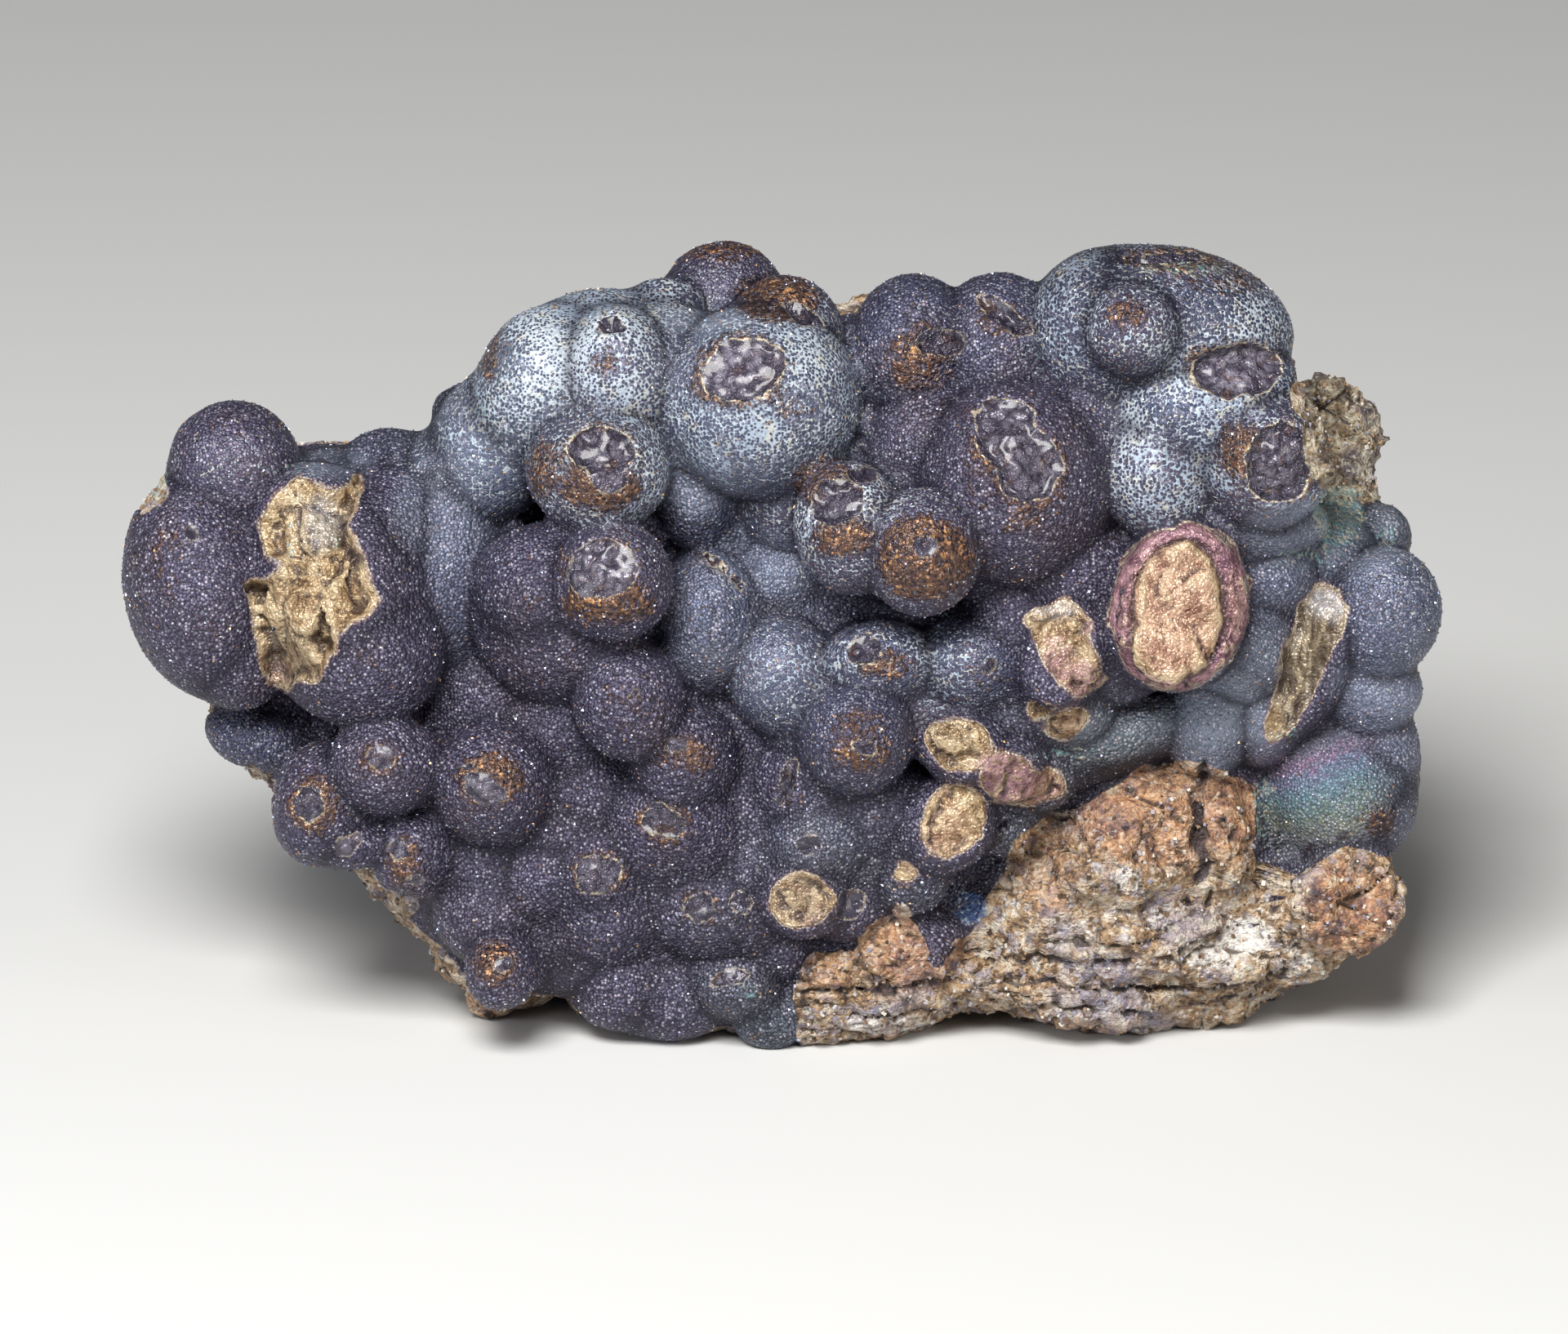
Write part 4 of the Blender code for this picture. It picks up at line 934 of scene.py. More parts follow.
def disc_relief(points):
    """The largest break: a raised core, a groove round it and a ring of thin flakes."""
    outside_core = core_distance(points)
    inside = -oval_distance(*ragged_place(points), BREAK_OVALS["big_disc"])
    core = 0.55 * rise(0.15, -0.2, outside_core)
    groove = 0.28 * np.exp(-(((outside_core - 0.22) / 0.16) ** 2))
    flakes = 0.12 * np.abs(waves(points * (1.0, 0.5, 1.0), 1.6, 48, 2))
    ring = (0.16 * np.sin(outside_core * 9.0) * 0.5 + flakes) * rise(0.1, 0.4, outside_core)
    return (core - groove + ring) * (inside > -0.4)


def splinter_relief(points):
    """The long splinter is a rounded finger with fine ridges along it."""
    across, up = ragged_place(points)
    inside = -outline_distance(across, up, SPLINTER)
    along = up * 0.25 - across * 0.6
    return (inside > 0) * (0.55 * rise(0.0, 1.3, inside) + 0.05 * np.sin(along * 14.0))


def crack_depth(points):
    """How deep the narrow cracks cut here, in mm."""
    across, up = ragged_place(points)
    open_here = rise(-0.9, 0.2, waves(points, 0.5, 65, 2))
    deepest = np.zeros(len(points))
    for width, depth, *stops in CRACKS.values():
        away = line_distance(across, up, stops)
        deepest = np.maximum(deepest, depth * open_here * rise(width, 0.0, away))
    return deepest


def rock_relief(points):
    """Slabs, chips and grit, and near-level layers low down."""
    bent = points * (0.6, 1.1, 0.8) + 0.5 * waves(points, 0.35, 50, 2)[:, None]
    rock = facets(bent, 0.33, 51, lift=0.4, slant=0.42, seam=0.20, seam_width=0.10)
    rock += facets(points, 0.95, 53, lift=0.15, slant=0.22, seam=0.07, seam_width=0.12)
    rock += 0.10 * waves(points, 1.6, 59, 3)
    across, up, _ = points.T
    level = up + 0.02 * across + 1.1 * waves(points * (0.4, 0.7, 0.7), 0.16, 61, 3)
    step = (level / 1.35) % 1.0
    patchy = rise(-0.35, 0.25, waves(points, 0.14, 63, 2))
    layered = rise(LAYERS_ABOVE + 0.8, LAYERS_ABOVE - 1.2, up) * (across > -1.0) * patchy
    rock += layered * (0.3 * (step - 0.5) - 0.2 * rise(0.14, 0.02, step))
    return rock


def relief(points, normals):
    """How far each point moves along its normal, in mm."""
    bare = bareness(points)
    skin = 1.0 - bare
    seen = rise(0.0, 0.35, normals[:, 2]) * (points[:, 2] > -1.5)
    rust = spots(*points[:, :2].T, RUST_CAPS)
    move = skin * (0.05 * waves(points, 0.8, 5, 2) + rust * 0.05 * waves(points, 1.8, 7, 2))
    move += skin * seen * window_relief(points)
    broken = rise(0.05, -0.25, break_distance(points)) * seen * skin
    scar = rise(0.1, -0.5, outline_distance(*ragged_place(points), SCAR)) * seen
    finger = rise(0.3, -0.1, outline_distance(points[:, 0], points[:, 1], SPLINTER))
    move += broken * (brass_relief(points) * (0.5 + 0.5 * scar) * (1 - 0.8 * finger) - BREAK_DEPTH)
    move += broken * (disc_relief(points) + splinter_relief(points)) - scar * SCAR_DEPTH
    move -= seen * np.maximum(bare, broken) * crack_depth(points)
    return move + bare * rock_relief(points)


# %% Move the points, and note where they end up low, for painted shade in hollows and light on crests
LOW_OVER = 5


def store(mesh, name, values):
    """Keeps a number for each point with the mesh."""
    made = mesh.attributes.new(name, "FLOAT", "POINT")
    made.data.foreach_set("value", np.ascontiguousarray(values, dtype=np.float32))


def neighbour_mean(mesh, values, rounds):
    """Values smoothed over the mesh's edges."""
    ends = np.empty(len(mesh.edges) * 2, np.int64)
    mesh.edges.foreach_get("vertices", ends)
    first, second = ends.reshape(-1, 2).T
    links = np.bincount(first, minlength=len(values)) + np.bincount(second, minlength=len(values))
    for _ in range(rounds):
        total = np.bincount(first, values[second], len(values))
        total += np.bincount(second, values[first], len(values))
        values = total / np.maximum(links, 1)
    return values


def carve(mesh):
    points = read_points(mesh)
    normals = read_normals(mesh)
    move = relief(points, normals)
    # how far a point lies below its neighbours: the paint darkens hollows with it as painted shade and
    # lightens crests as painted highlight
    low = neighbour_mean(mesh, move, LOW_OVER) - move
    store(mesh, "low", low)
    points += normals * move[:, None]
    write_points(mesh, points)
    return points, low


carved, low = carve(stone.data)
print("carved to", np.round(carved.min(0), 2), np.round(carved.max(0), 2), "mm on the face")
print("hollows and crests, in mm:", np.round(np.percentile(low, (1, 50, 99)), 3))

# %% [markdown]
# ## Flat foot and a lighter mesh
# The stone stands on the floor, so all that would reach below it is cut off by a Boolean. The Decimate
# modifier then takes points away where the surface is plain, and mostly behind, where no one looks as
# closely.

# %% Cut the foot and thin the mesh
TRIANGLES = 194000
BACK_THINNER = 1e-6
GROUND = 0.3


def cut_and_thinned(thing):
    bm = bmesh.new()
    bmesh.ops.create_cube(bm, size=GROUND)
    bmesh.ops.translate(bm, verts=bm.verts, vec=(0.0, 0.0, -GROUND / 2))
    ground = new_object("ground", mesh_from(bm, "ground"))
    foot = thing.modifiers.new("flat_foot", "BOOLEAN")
    foot.operation = "DIFFERENCE"
    foot.solver = "MANIFOLD"
    foot.object = ground
    thing.data = worked_in(thing)
    thing.modifiers.clear()
    bpy.data.objects.remove(ground)
    behind = thing.vertex_groups.new(name="behind")
    points = read_points(thing.data)
    share = 0.2 + 0.8 * rise(1.0, -4.0, points[:, 2])
    for level in range(11):
        chosen = np.flatnonzero(np.round(share * 10) == level)
        behind.add([int(i) for i in chosen], level / 10, "REPLACE")
    faces = sum(len(p.vertices) - 2 for p in thing.data.polygons)
    thin = thing.modifiers.new("thin", "DECIMATE")
    thin.ratio = min(1.0, TRIANGLES / faces)
    thin.vertex_group = "behind"
    thin.vertex_group_factor = BACK_THINNER
    thing.data = worked_in(thing)
    thing.modifiers.clear()
    thing.vertex_groups.clear()
    return faces


print("thinned from", cut_and_thinned(stone), "to", len(stone.data.polygons), "faces")

# %% [markdown]
# ## Facts for the paint
# The material needs to know at each point whether it is frost, brass, window or rock. These facts go
# with the mesh as attributes, worked out from the same lists. Edges are kept as distances, so the
# paint can draw them sharper than the mesh is fine.


# %% Store the facts
RAINBOW = (30.6, 14.8, 4.2, 4.2)
CLEAR_OF_FLOOR = 0.6 * MM


def store_facts(mesh):
    points = read_points(mesh)
    normals = read_normals(mesh)
    across, up, _ = points.T
    seen = rise(-0.1, 0.25, normals[:, 2]) > 0.3
    _, slope, gap = lobe_surface(points)
    window, _, rim, dark = window_distance(points)
    finish = lobe_finishes(points)
    frost = finish["frost"] * rise(-1.5, -0.3, slope[:, 1])
    cap = spots(across, up, RUST_CAPS, 0.6)
    facts = {
        "bare": bareness(points),
        "window": np.where(seen, window, 2.0),
        "rim": rim,
        "dark": dark,
        "broken": np.where(seen, break_distance(points), 2.0),
        # painted shade: darker where two lobes meet, most in the narrowest creases
        "crease": 0.55 * rise(1.5, 0.0, gap) ** 1.6 + 0.45 * rise(0.4, 0.05, gap),
        "broad": 0.5 + 0.22 * waves(points, 0.35, 71, 2),
        "frost": frost * (0.85 + 0.35 * waves(points, 0.35, 61, 2)) * (1 - 0.7 * cap),
        "bloom": np.maximum(finish["bloom"], spots(across, up, BLOOM_SPOTS, 0.6)),
        "rust": np.maximum(cap * seen, 0.3 * finish["rust"]),
        "blue": finish["blue"],
        "orange": spots(across, up, ORANGE_SPOTS),
        "wine": spots(across, up, WINE_SPOTS),
        "olive": spots(across, up, OLIVE_SPOTS),
        "pale": spots(across, up, PALE_SPOTS, 0.5),
        "teal": spots(across, up, TEAL_SPOTS, 0.2),
        "azure": spots(across, up, AZURE_SPOTS, 0.2),
        "green": finish["green"],
        "crack": crack_depth(points) * (normals[:, 2] > 0),
        "core": core_distance(points),
        "ochre": spots(across, up, OCHRE_SPOTS, 0.7),
        "quartz": spots(across, up, QUARTZ_SPOTS, 0.5),
        "rainbow": rise(1.2, -1.6, oval_distance(across, up, RAINBOW)),
        "band": (up - 0.25 * (across - 30.0) - 11.0) / 7.0,
    }
    open_skin = (window > 0.25) & (facts["broken"] > 0.25)
    above_floor = face_to_room(points)[:, 2] > CLEAR_OF_FLOOR
    facts["felt"] = open_skin * (1 - facts["bare"]) * (1 - facts["crease"]) * above_floor
    facts["grit"] = rise(0.6, 0.95, facts["bare"]) * above_floor * (up < GRIT_BELOW)
    for name, values in facts.items():
        store(mesh, name, values)
    return facts


facts = store_facts(stone.data)
print("stored:", ", ".join(facts))
print("hollows kept:", "low" in stone.data.attributes)

# %% [markdown]
# ## Paint, written as sums
# A shader is a net of small sums, and sums read best as sums. This class wraps a number that comes out
# of a node, so that masks can be added and multiplied in plain Python. Colours are mixed, never summed.


# %% A number from a node
class Number:
    def __init__(self, paint, socket):
        self.paint, self.socket = paint, socket

    def __add__(self, other):
        return self.paint.sum("ADD", self, other)

    def __sub__(self, other):
        return self.paint.sum("SUBTRACT", self, other)

    def __rsub__(self, other):
        return self.paint.sum("SUBTRACT", other, self)

    def __mul__(self, other):
        return self.paint.sum("MULTIPLY", self, other)

    __radd__ = __add__
    __rmul__ = __mul__

    def most(self, other):
        return self.paint.sum("MAXIMUM", self, other)

    def step(self, low, high):
        """0 below low and 1 above high, soft between; low may be above high."""
        made = self.paint.node(
            "ShaderNodeMapRange", {"interpolation_type": "SMOOTHSTEP"}, {0: self, 1: low, 2: high}
        )
        return Number(self.paint, made.outputs[0])


def add_node(tree, kind, settings=None, inputs=None):
    """A new node with its settings. An input is linked if it comes from a node, and set if it doesn't."""
    made = tree.nodes.new(kind)
    for key, value in (settings or {}).items():
        setattr(made, key, value)
    for key, value in (inputs or {}).items():
        value = value.socket if isinstance(value, Number) else value
        if isinstance(value, bpy.types.NodeSocket):
            tree.links.new(value, made.inputs[key])
        else:
            made.inputs[key].default_value = value
    return made


class Paint:
    """Makes and links the nodes of one material."""

    def __init__(self, name):
        self.material = bpy.data.materials.new(name)
        self.material.use_nodes = True
        self.material.node_tree.nodes.clear()

    def node(self, kind, settings=None, inputs=None):
        return add_node(self.material.node_tree, kind, settings, inputs)

    def sum(self, operation, first, second):
        made = self.node("ShaderNodeMath", {"operation": operation}, {0: first, 1: second})
        return Number(self, made.outputs[0])

    def fact(self, name):
        made = self.node("ShaderNodeAttribute", {"attribute_name": name})
        return Number(self, made.outputs["Fac"])

    def place(self, stretch=(1.0, 1.0, 1.0)):
        """Object coordinates in millimetres, stretched if asked."""
        at = self.node("ShaderNodeTexCoord").outputs["Object"]
        scale = [s / MM for s in stretch]
        return self.node("ShaderNodeVectorMath", {"operation": "MULTIPLY"}, {0: at, 1: scale}).outputs[0]

    def noise(self, where, per_mm, detail, rough=0.5):
        made = self.node(
            "ShaderNodeTexNoise", None,
            {"Vector": where, "Scale": per_mm, "Detail": detail, "Roughness": rough},
        )
        return Number(self, made.outputs["Fac"])

    def cells(self, where, per_mm, uneven=1.0):
        """Distance to the nearest grain's centre, and that grain's random value."""
        made = self.node(
            "ShaderNodeTexVoronoi", None, {"Vector": where, "Scale": per_mm, "Randomness": uneven}
        )
        value = self.node("ShaderNodeSeparateColor", None, {0: made.outputs["Color"]})
        return Number(self, made.outputs["Distance"]), Number(self, value.outputs[0])

    def mix(self, share, first, second):
        """One colour into another."""
        made = self.node("ShaderNodeMix", {"data_type": "RGBA"}, {0: share, 6: first, 7: second})
        return made.outputs[2]

    def coats(self, colour, *coats):
        """Lays coats of (share, colour) over a colour, in this order."""
        for share, over in coats:
            colour = self.mix(share, colour, over)
        return colour

    def ramp(self, share, *stops):
        """A colour from a row of (place, colour)."""
        made = self.node("ShaderNodeValToRGB", None, {0: share})
        row = made.color_ramp.elements
        while len(row) < len(stops):
            row.new(0.5)
        for element, (at, colour) in zip(row, stops):
            element.position, element.color = at, colour
        return made.outputs[0]

    def finish(self, **inputs):
        """Ends the net: a principled shader with these inputs, underscores standing for spaces."""
        named = {key.replace("_", " "): value for key, value in inputs.items()}
        shader = self.node("ShaderNodeBsdfPrincipled", None, named)
        self.node("ShaderNodeOutputMaterial", None, {"Surface": shader.outputs[0]})
        return self.material


def rgb(red, green, blue):
    """A colour given as seen on a screen, 0 to 255, as the shader needs it."""
    linear = [((c / 255 + 0.055) / 1.055) ** 2.4 if c > 10 else c / 255 / 12.92 for c in (red, green, blue)]
    return (*linear, 1.0)


# %% [markdown]
# ## The stone's material
# One material carries all finishes, because on the stone they grade into each other. The skin is a
# felt of tiny crystals: violet-grey, metallic, with pinprick sparkles painted on as highlights. Frost is
# a pale net with dark pores, which breaks up into specks where it is thin. Windows are smooth and
# glossy. Brass is warm and hackly. Rock is dull, mixed and grainy.

# %% Colours
VIOLET = rgb(80, 75, 98)
# painted shade: this dark fills the creases between lobes and the gaps between the skin's grains
VIOLET_SHADE = rgb(26, 23, 38)
SLATE = rgb(72, 84, 112)
PLUM_BROWN = rgb(86, 74, 84)
SEA_GREY = rgb(104, 118, 116)
GRAIN_PALE = rgb(172, 166, 182)
# painted highlight: the white of pinpoint glints on the skin
PAINTED_GLINT_WHITE = rgb(226, 228, 236)
FROST_PALE = rgb(186, 197, 205)
FROST_BLUE = rgb(160, 175, 191)
FROST_CREAM = rgb(200, 194, 170)
PORE_DARK = rgb(50, 54, 74)
BLOOM_BLUE = rgb(138, 147, 167)
RUST_BROWN = rgb(94, 67, 50)
RUST_BRIGHT = rgb(186, 134, 84)
# The dark of the rust, also used as painted shade in the hollows of torn brass and in cracks
RUST_DARK_AND_SHADE = rgb(46, 36, 42)
# The dark of dark linings, also used as painted shade between blisters and towards the rim
LINING_DARK_AND_SHADE = rgb(42, 37, 52)
LINING = rgb(88, 81, 97)
# The pale of the lining, laid on the blister tops as a painted highlight
LINING_PALE_AND_HIGHLIGHT = rgb(158, 152, 168)
LIP_PALE = rgb(208, 194, 168)
BRASS_DARK = rgb(66, 48, 34)
BRASS = rgb(138, 112, 80)
# The pale of brass, also used as a painted highlight on the crests of torn metal
BRASS_PALE_AND_HIGHLIGHT = rgb(196, 175, 143)
ORANGE_DARK = rgb(118, 80, 66)
ORANGE_TAN = rgb(184, 149, 126)
WINE = rgb(106, 72, 90)
WINE_PALE = rgb(170, 128, 140)
OLIVE = rgb(90, 80, 62)
OLIVE_PALE = rgb(164, 154, 138)
TEAL = rgb(128, 168, 172)
AZURE = rgb(62, 86, 130)
# The dark of the rock, also used as painted shade in its hollows and along its layer lines
ROCK_DARK_AND_SHADE = rgb(54, 44, 38)
ROCK_BROWN = rgb(120, 93, 68)
ROCK_TAN = rgb(172, 144, 112)
ROCK_PALE = rgb(206, 198, 184)
ROCK_LILAC = rgb(138, 138, 160)
QUARTZ_WHITE = rgb(232, 228, 222)
OCHRE = rgb(182, 130, 88)
SILVER = rgb(206, 204, 208)
print("violet, as the shader needs it:", [round(share, 3) for share in VIOLET])

# %% Patterns that all finishes share
def patterns(paint):
    where = paint.place()
    pore, own = paint.cells(where, 5.2, 0.85)
    chip, kind = paint.cells(where, 1.7)
    level = paint.place((0.22, 1.2, 1.7))
    lengthwise = paint.place((1.9, 1.2, 0.5))
    grainwise = paint.node(
        "ShaderNodeMix", {"data_type": "VECTOR"}, {0: paint.fact("olive"), 4: level, 5: lengthwise}
    )
    return {
        "broad": paint.fact("broad"),
        "fine": paint.noise(where, 2.8, 2.0, 0.65),
        "crumb": paint.noise(where, 0.9, 3.0, 0.75),
        "strata": paint.noise(grainwise.outputs[1], 0.8, 2.0, 0.7),
        "pore": pore, "own": own, "chip": chip, "kind": kind,
    }


# %% The skin of the lobes
def skin_colour(paint, see):
    broad, fine = see["broad"], see["fine"]
    # painted shade: the skin darkens in the gaps between its grains, less under bloom
    gaps = (see["pore"] + (fine - 0.5) * 0.5).step(0.38, 0.62)
    return paint.coats(
        VIOLET,
        (paint.fact("blue") * 1.1, SLATE),
        ((broad - 0.5) * 3.0, PLUM_BROWN),
        (paint.fact("bloom") * (0.5 + broad * 0.7), BLOOM_BLUE),
        (paint.fact("green") * (0.2 + broad * 0.8), SEA_GREY),
        (see["own"].step(0.55, 1.0) * (1 - gaps) * 0.6, GRAIN_PALE),
        # painted shade between the grains
        (gaps * (0.75 - paint.fact("bloom") * 0.5), VIOLET_SHADE),
    )


def rust_share(paint, see):
    """Where rust covers the skin: thick round the openings, flecks elsewhere."""
    near_window = paint.fact("window").step(0.9, 0.1) * paint.fact("rim") * 0.35
    return (
        paint.fact("rust") + near_window + (see["fine"] - 0.5) * 1.3 + (see["broad"] - 0.5) * 0.8
    ).step(0.30, 0.85)


def rusted(paint, see, rust, colour):
    """Red-brown crumbs, some bright, with dark gaps between them."""
    crumbs = paint.coats(
        RUST_DARK_AND_SHADE,
        (see["own"].step(0.05, 0.45), RUST_BROWN),
        (see["own"].step(0.70, 0.98) * see["crumb"].step(0.44, 0.58), RUST_BRIGHT),
        (see["fine"].step(0.50, 0.34) * 0.7, RUST_DARK_AND_SHADE),
    )
    return paint.mix(rust * 0.95, colour, crumbs)


def frost_share(paint, see):
    """Where the pale crystals lie: nearly all but the pores where frost is thick, a thin net where it
    is thin, and only specks on the rest."""
    thick = paint.fact("frost") * (0.75 + see["broad"] * 0.5)
    edge = 0.88 - thick * 0.52
    net = (see["pore"] + (see["fine"] - 0.5) * 0.12).step(edge - 0.07, edge + 0.12)
    return net * (0.3 + thick.step(0.05, 0.4) * 0.7)


def frosted(paint, see, frost, colour):
    """Pale crystals in three hues, with dark pores between them."""
    pale = paint.coats(
        FROST_PALE,
        (see["broad"].step(0.45, 0.62), FROST_BLUE),
        (see["kind"].step(0.8, 0.9) * 0.5, FROST_CREAM),
    )
    pores = paint.fact("frost").step(0.25, 0.7) * see["pore"].step(0.5, 0.3)
    return paint.coats(colour, (pores * 0.75, PORE_DARK), (frost * 0.85, pale))


def iridescent(paint, see, colour):
    """Thin tarnish in bands, as colours run on a film of oil."""
    band = paint.fact("band") + (see["broad"] - 0.5) * 0.5 + (see["fine"] - 0.5) * 0.4
    hues = paint.ramp(
        band,
        (0.10, rgb(96, 94, 84)), (0.28, rgb(120, 124, 88)), (0.44, rgb(84, 116, 98)),
        (0.58, rgb(62, 112, 124)), (0.70, rgb(86, 92, 128)), (0.80, rgb(124, 78, 112)),
        (0.95, rgb(96, 88, 106)),
    )
    return paint.mix(paint.fact("rainbow") * (0.15 + see["own"] * 0.5), colour, hues)


# %% The lining of a window and its torn lip
def lined(paint, see, edge, inside, colour):
    """Silvery blisters with painted highlights on their tops and painted shade between them and towards the
    rim, under a thin cream lip.
    """
    blister = (see["chip"] + (see["fine"] - 0.5) * 0.5).step(0.75, 0.1)
    lining = paint.coats(
        LINING,
        # painted highlight on the blister tops
        (blister * (see["crumb"] * 1.5 - 0.25), LINING_PALE_AND_HIGHLIGHT),
        # painted shade between the blisters
        (blister.step(0.3, 0.0) * 0.5, LINING_DARK_AND_SHADE),
        # painted shade towards the rim
        (edge.step(-0.9, -0.1) * 0.6, LINING_DARK_AND_SHADE),
        (paint.fact("dark") * 0.85, LINING_DARK_AND_SHADE),
        (see["crumb"].step(0.56, 0.64) * 0.45, RUST_BROWN),
    )
    lip = edge.step(-0.10, -0.01) * edge.step(0.09, 0.02) * paint.fact("rim")
    return paint.coats(colour, (inside, lining), (lip * see["fine"].step(0.42, 0.54) * 0.8, LIP_PALE))


# %% Metal
def brass_colour(paint, see):
    crumb, fine, strata = see["crumb"], see["fine"], see["strata"]
    orange = paint.mix(crumb.step(0.30, 0.60), ORANGE_DARK, ORANGE_TAN)
    olive = paint.ramp(strata, (0.40, RUST_DARK_AND_SHADE), (0.49, OLIVE), (0.60, OLIVE_PALE))
    wine = paint.mix(crumb.step(0.4, 0.62), WINE, WINE_PALE)
    ring = paint.fact("core").step(0.0, 0.25) * paint.fact("core").step(2.6, 2.2)
    return paint.coats(
        paint.ramp(crumb, (0.30, BRASS_DARK), (0.44, BRASS), (0.64, BRASS_PALE_AND_HIGHLIGHT)),
        (paint.fact("orange") * 0.9, orange),
        (paint.fact("olive") * 0.85, olive),
        (paint.fact("wine") * fine.step(0.3, 0.55) * 0.85, wine),
        (ring * (0.9 - paint.fact("orange") * 0.5), wine),
        # painted shade in the hollows of the torn metal
        (paint.fact("low").step(0.02, 0.16) * 0.7, RUST_DARK_AND_SHADE),
        (fine.step(0.47, 0.30) * 0.65, BRASS_DARK),
        # painted highlight on the crests of the torn metal
        (paint.fact("low").step(-0.03, -0.16) * 0.5, BRASS_PALE_AND_HIGHLIGHT),
        (paint.fact("pale") * (0.5 + fine.step(0.35, 0.6) * 0.5) * 0.8, SILVER),
    )


# %% Rock
def rock_colour(paint, see):
    crumb, kind, own, strata = see["crumb"], see["kind"], see["own"], see["strata"]
    warm = paint.ramp(crumb, (0.32, RUST_DARK_AND_SHADE), (0.42, ORANGE_DARK), (0.56, OCHRE), (0.70, BRASS_PALE_AND_HIGHLIGHT))
    muddy = paint.ramp(crumb, (0.32, ROCK_DARK_AND_SHADE), (0.46, OLIVE), (0.68, FROST_CREAM))
    quartz = (paint.fact("quartz") + (see["fine"] - 0.5) * 1.4).step(0.35, 0.8)
    return paint.coats(
        paint.ramp(crumb, (0.32, ROCK_DARK_AND_SHADE), (0.42, ROCK_BROWN), (0.53, ROCK_TAN), (0.68, ROCK_PALE)),
        (see["broad"].step(0.50, 0.62) * 0.5, ROCK_LILAC),
        (kind.step(0.80, 0.88) * 0.5, ROCK_PALE),
        (kind.step(0.20, 0.12) * 0.45, ROCK_LILAC),
        (paint.fact("ochre") * (see["broad"] + 0.4) * 0.9, warm),
        (paint.fact("olive") * 0.8, muddy),
        (quartz * 0.75, QUARTZ_WHITE),
        (own.step(0.35, 0.0) * 0.4, ROCK_DARK_AND_SHADE),
        (own.step(0.88, 0.97) * 0.5, ROCK_PALE),
        # painted shade: thin dark lines along the layers stand for narrow grooves
        (strata.step(0.46, 0.49) * strata.step(0.54, 0.51) * 0.3, ROCK_DARK_AND_SHADE),
        # painted shade in the hollows of the rock
        (paint.fact("low").step(0.03, 0.20) * 0.8, ROCK_DARK_AND_SHADE),
    )


# %% All finishes in one material
BUMP_HEIGHT = 0.16 * MM


def stone_colour(paint, see, rust, frost, shake):
    """The colour, and how much of each point is lined window, brass and bare rock."""
    fine, own, pore = see["fine"], see["own"], see["pore"]
    # painted highlight: white glints on some grain centres
    painted_glint = own.step(0.78, 0.82) * pore.step(0.26, 0.17)
    edge = paint.fact("window") + shake
    inside = edge.step(0.02, -0.08)
    skin = iridescent(paint, see, skin_colour(paint, see))
    skin = rusted(paint, see, rust, skin)
    skin = frosted(paint, see, frost, skin)
    # painted shade in the creases between lobes, then the painted highlight of the glints
    skin = paint.coats(skin, (paint.fact("crease") * 0.85, VIOLET_SHADE), (painted_glint * 0.5, PAINTED_GLINT_WHITE))
    skin = lined(paint, see, edge, inside, skin)

    torn = paint.fact("broken") + shake * 1.3
    film = paint.ramp(
        torn, (0.0, rgb(150, 112, 84)), (0.22, rgb(116, 80, 92)), (0.5, rgb(74, 68, 104)),
        (0.9, rgb(86, 92, 110)),
    )
    rim = torn.step(0.0, 0.06) * torn.step(0.2, 0.1) * fine.step(0.42, 0.52)
    brass = torn.step(0.05, -0.06)
    bare = (paint.fact("bare") + shake).step(0.38, 0.6)
    teal = (paint.fact("teal") + (fine - 0.5) * 1.6).step(0.35, 0.8)
    azure = (paint.fact("azure") + (fine - 0.5) * 1.4).step(0.4, 0.8)
    colour = paint.coats(
        skin,
        (torn.step(0.3, 0.05) * 0.35, film),
        (rim * 0.6, LIP_PALE),
        (brass, brass_colour(paint, see)),
        (bare, rock_colour(paint, see)),
        (teal * 0.65, paint.mix(own.step(0.55, 0.7), TEAL, FROST_CREAM)),
        (azure * 0.8, paint.mix(own.step(0.7, 0.9), AZURE, FROST_BLUE)),
        # painted shade in the narrow cracks
        (paint.fact("crack").step(0.08, 0.45) * 0.85, RUST_DARK_AND_SHADE),
    )
    return colour, inside, brass, bare


def stone_material():
    paint = Paint("tarnished_stone")
    see = patterns(paint)
    fine, own, pore = see["fine"], see["own"], see["pore"]
    rust = rust_share(paint, see)
    frost = frost_share(paint, see) * (1 - rust * 0.7)
    colour, inside, brass, bare = stone_colour(paint, see, rust, frost, (fine - 0.5) * 0.3)

    on_skin = (1 - bare) * (1 - brass)
    shiny = inside * on_skin
    on_brass = brass * (1 - bare)
    rough = 0.50 + (own - 0.5) * 0.25 - shiny * 0.24 - rust * on_skin * 0.2 + bare * 0.12 - on_brass * 0.14
    metallic = on_skin * (0.45 - frost * 0.3 - inside * 0.2) + on_brass * 0.38 + bare * 0.1

    grain = pore * (paint.fact("frost") * 1.3 - 0.8) + fine * 0.9
    blister = fine - see["chip"] * see["chip"] * 1.8
    skin_height = grain * (1 - inside) * (1 - rust * 0.5) + blister * inside + rust * fine * 1.3
    rocky = brass.most(bare)
    height = skin_height * (1 - rocky) + (fine * (2.4 - brass) - pore * 0.5) * rocky
    bump = paint.node("ShaderNodeBump", None, {"Strength": 0.9, "Distance": BUMP_HEIGHT, "Height": height})
    return paint.finish(
        Base_Color=colour, Roughness=rough, Metallic=metallic, Coat_Weight=shiny * 0.4,
        Coat_Roughness=0.16, Normal=bump.outputs[0],
    )


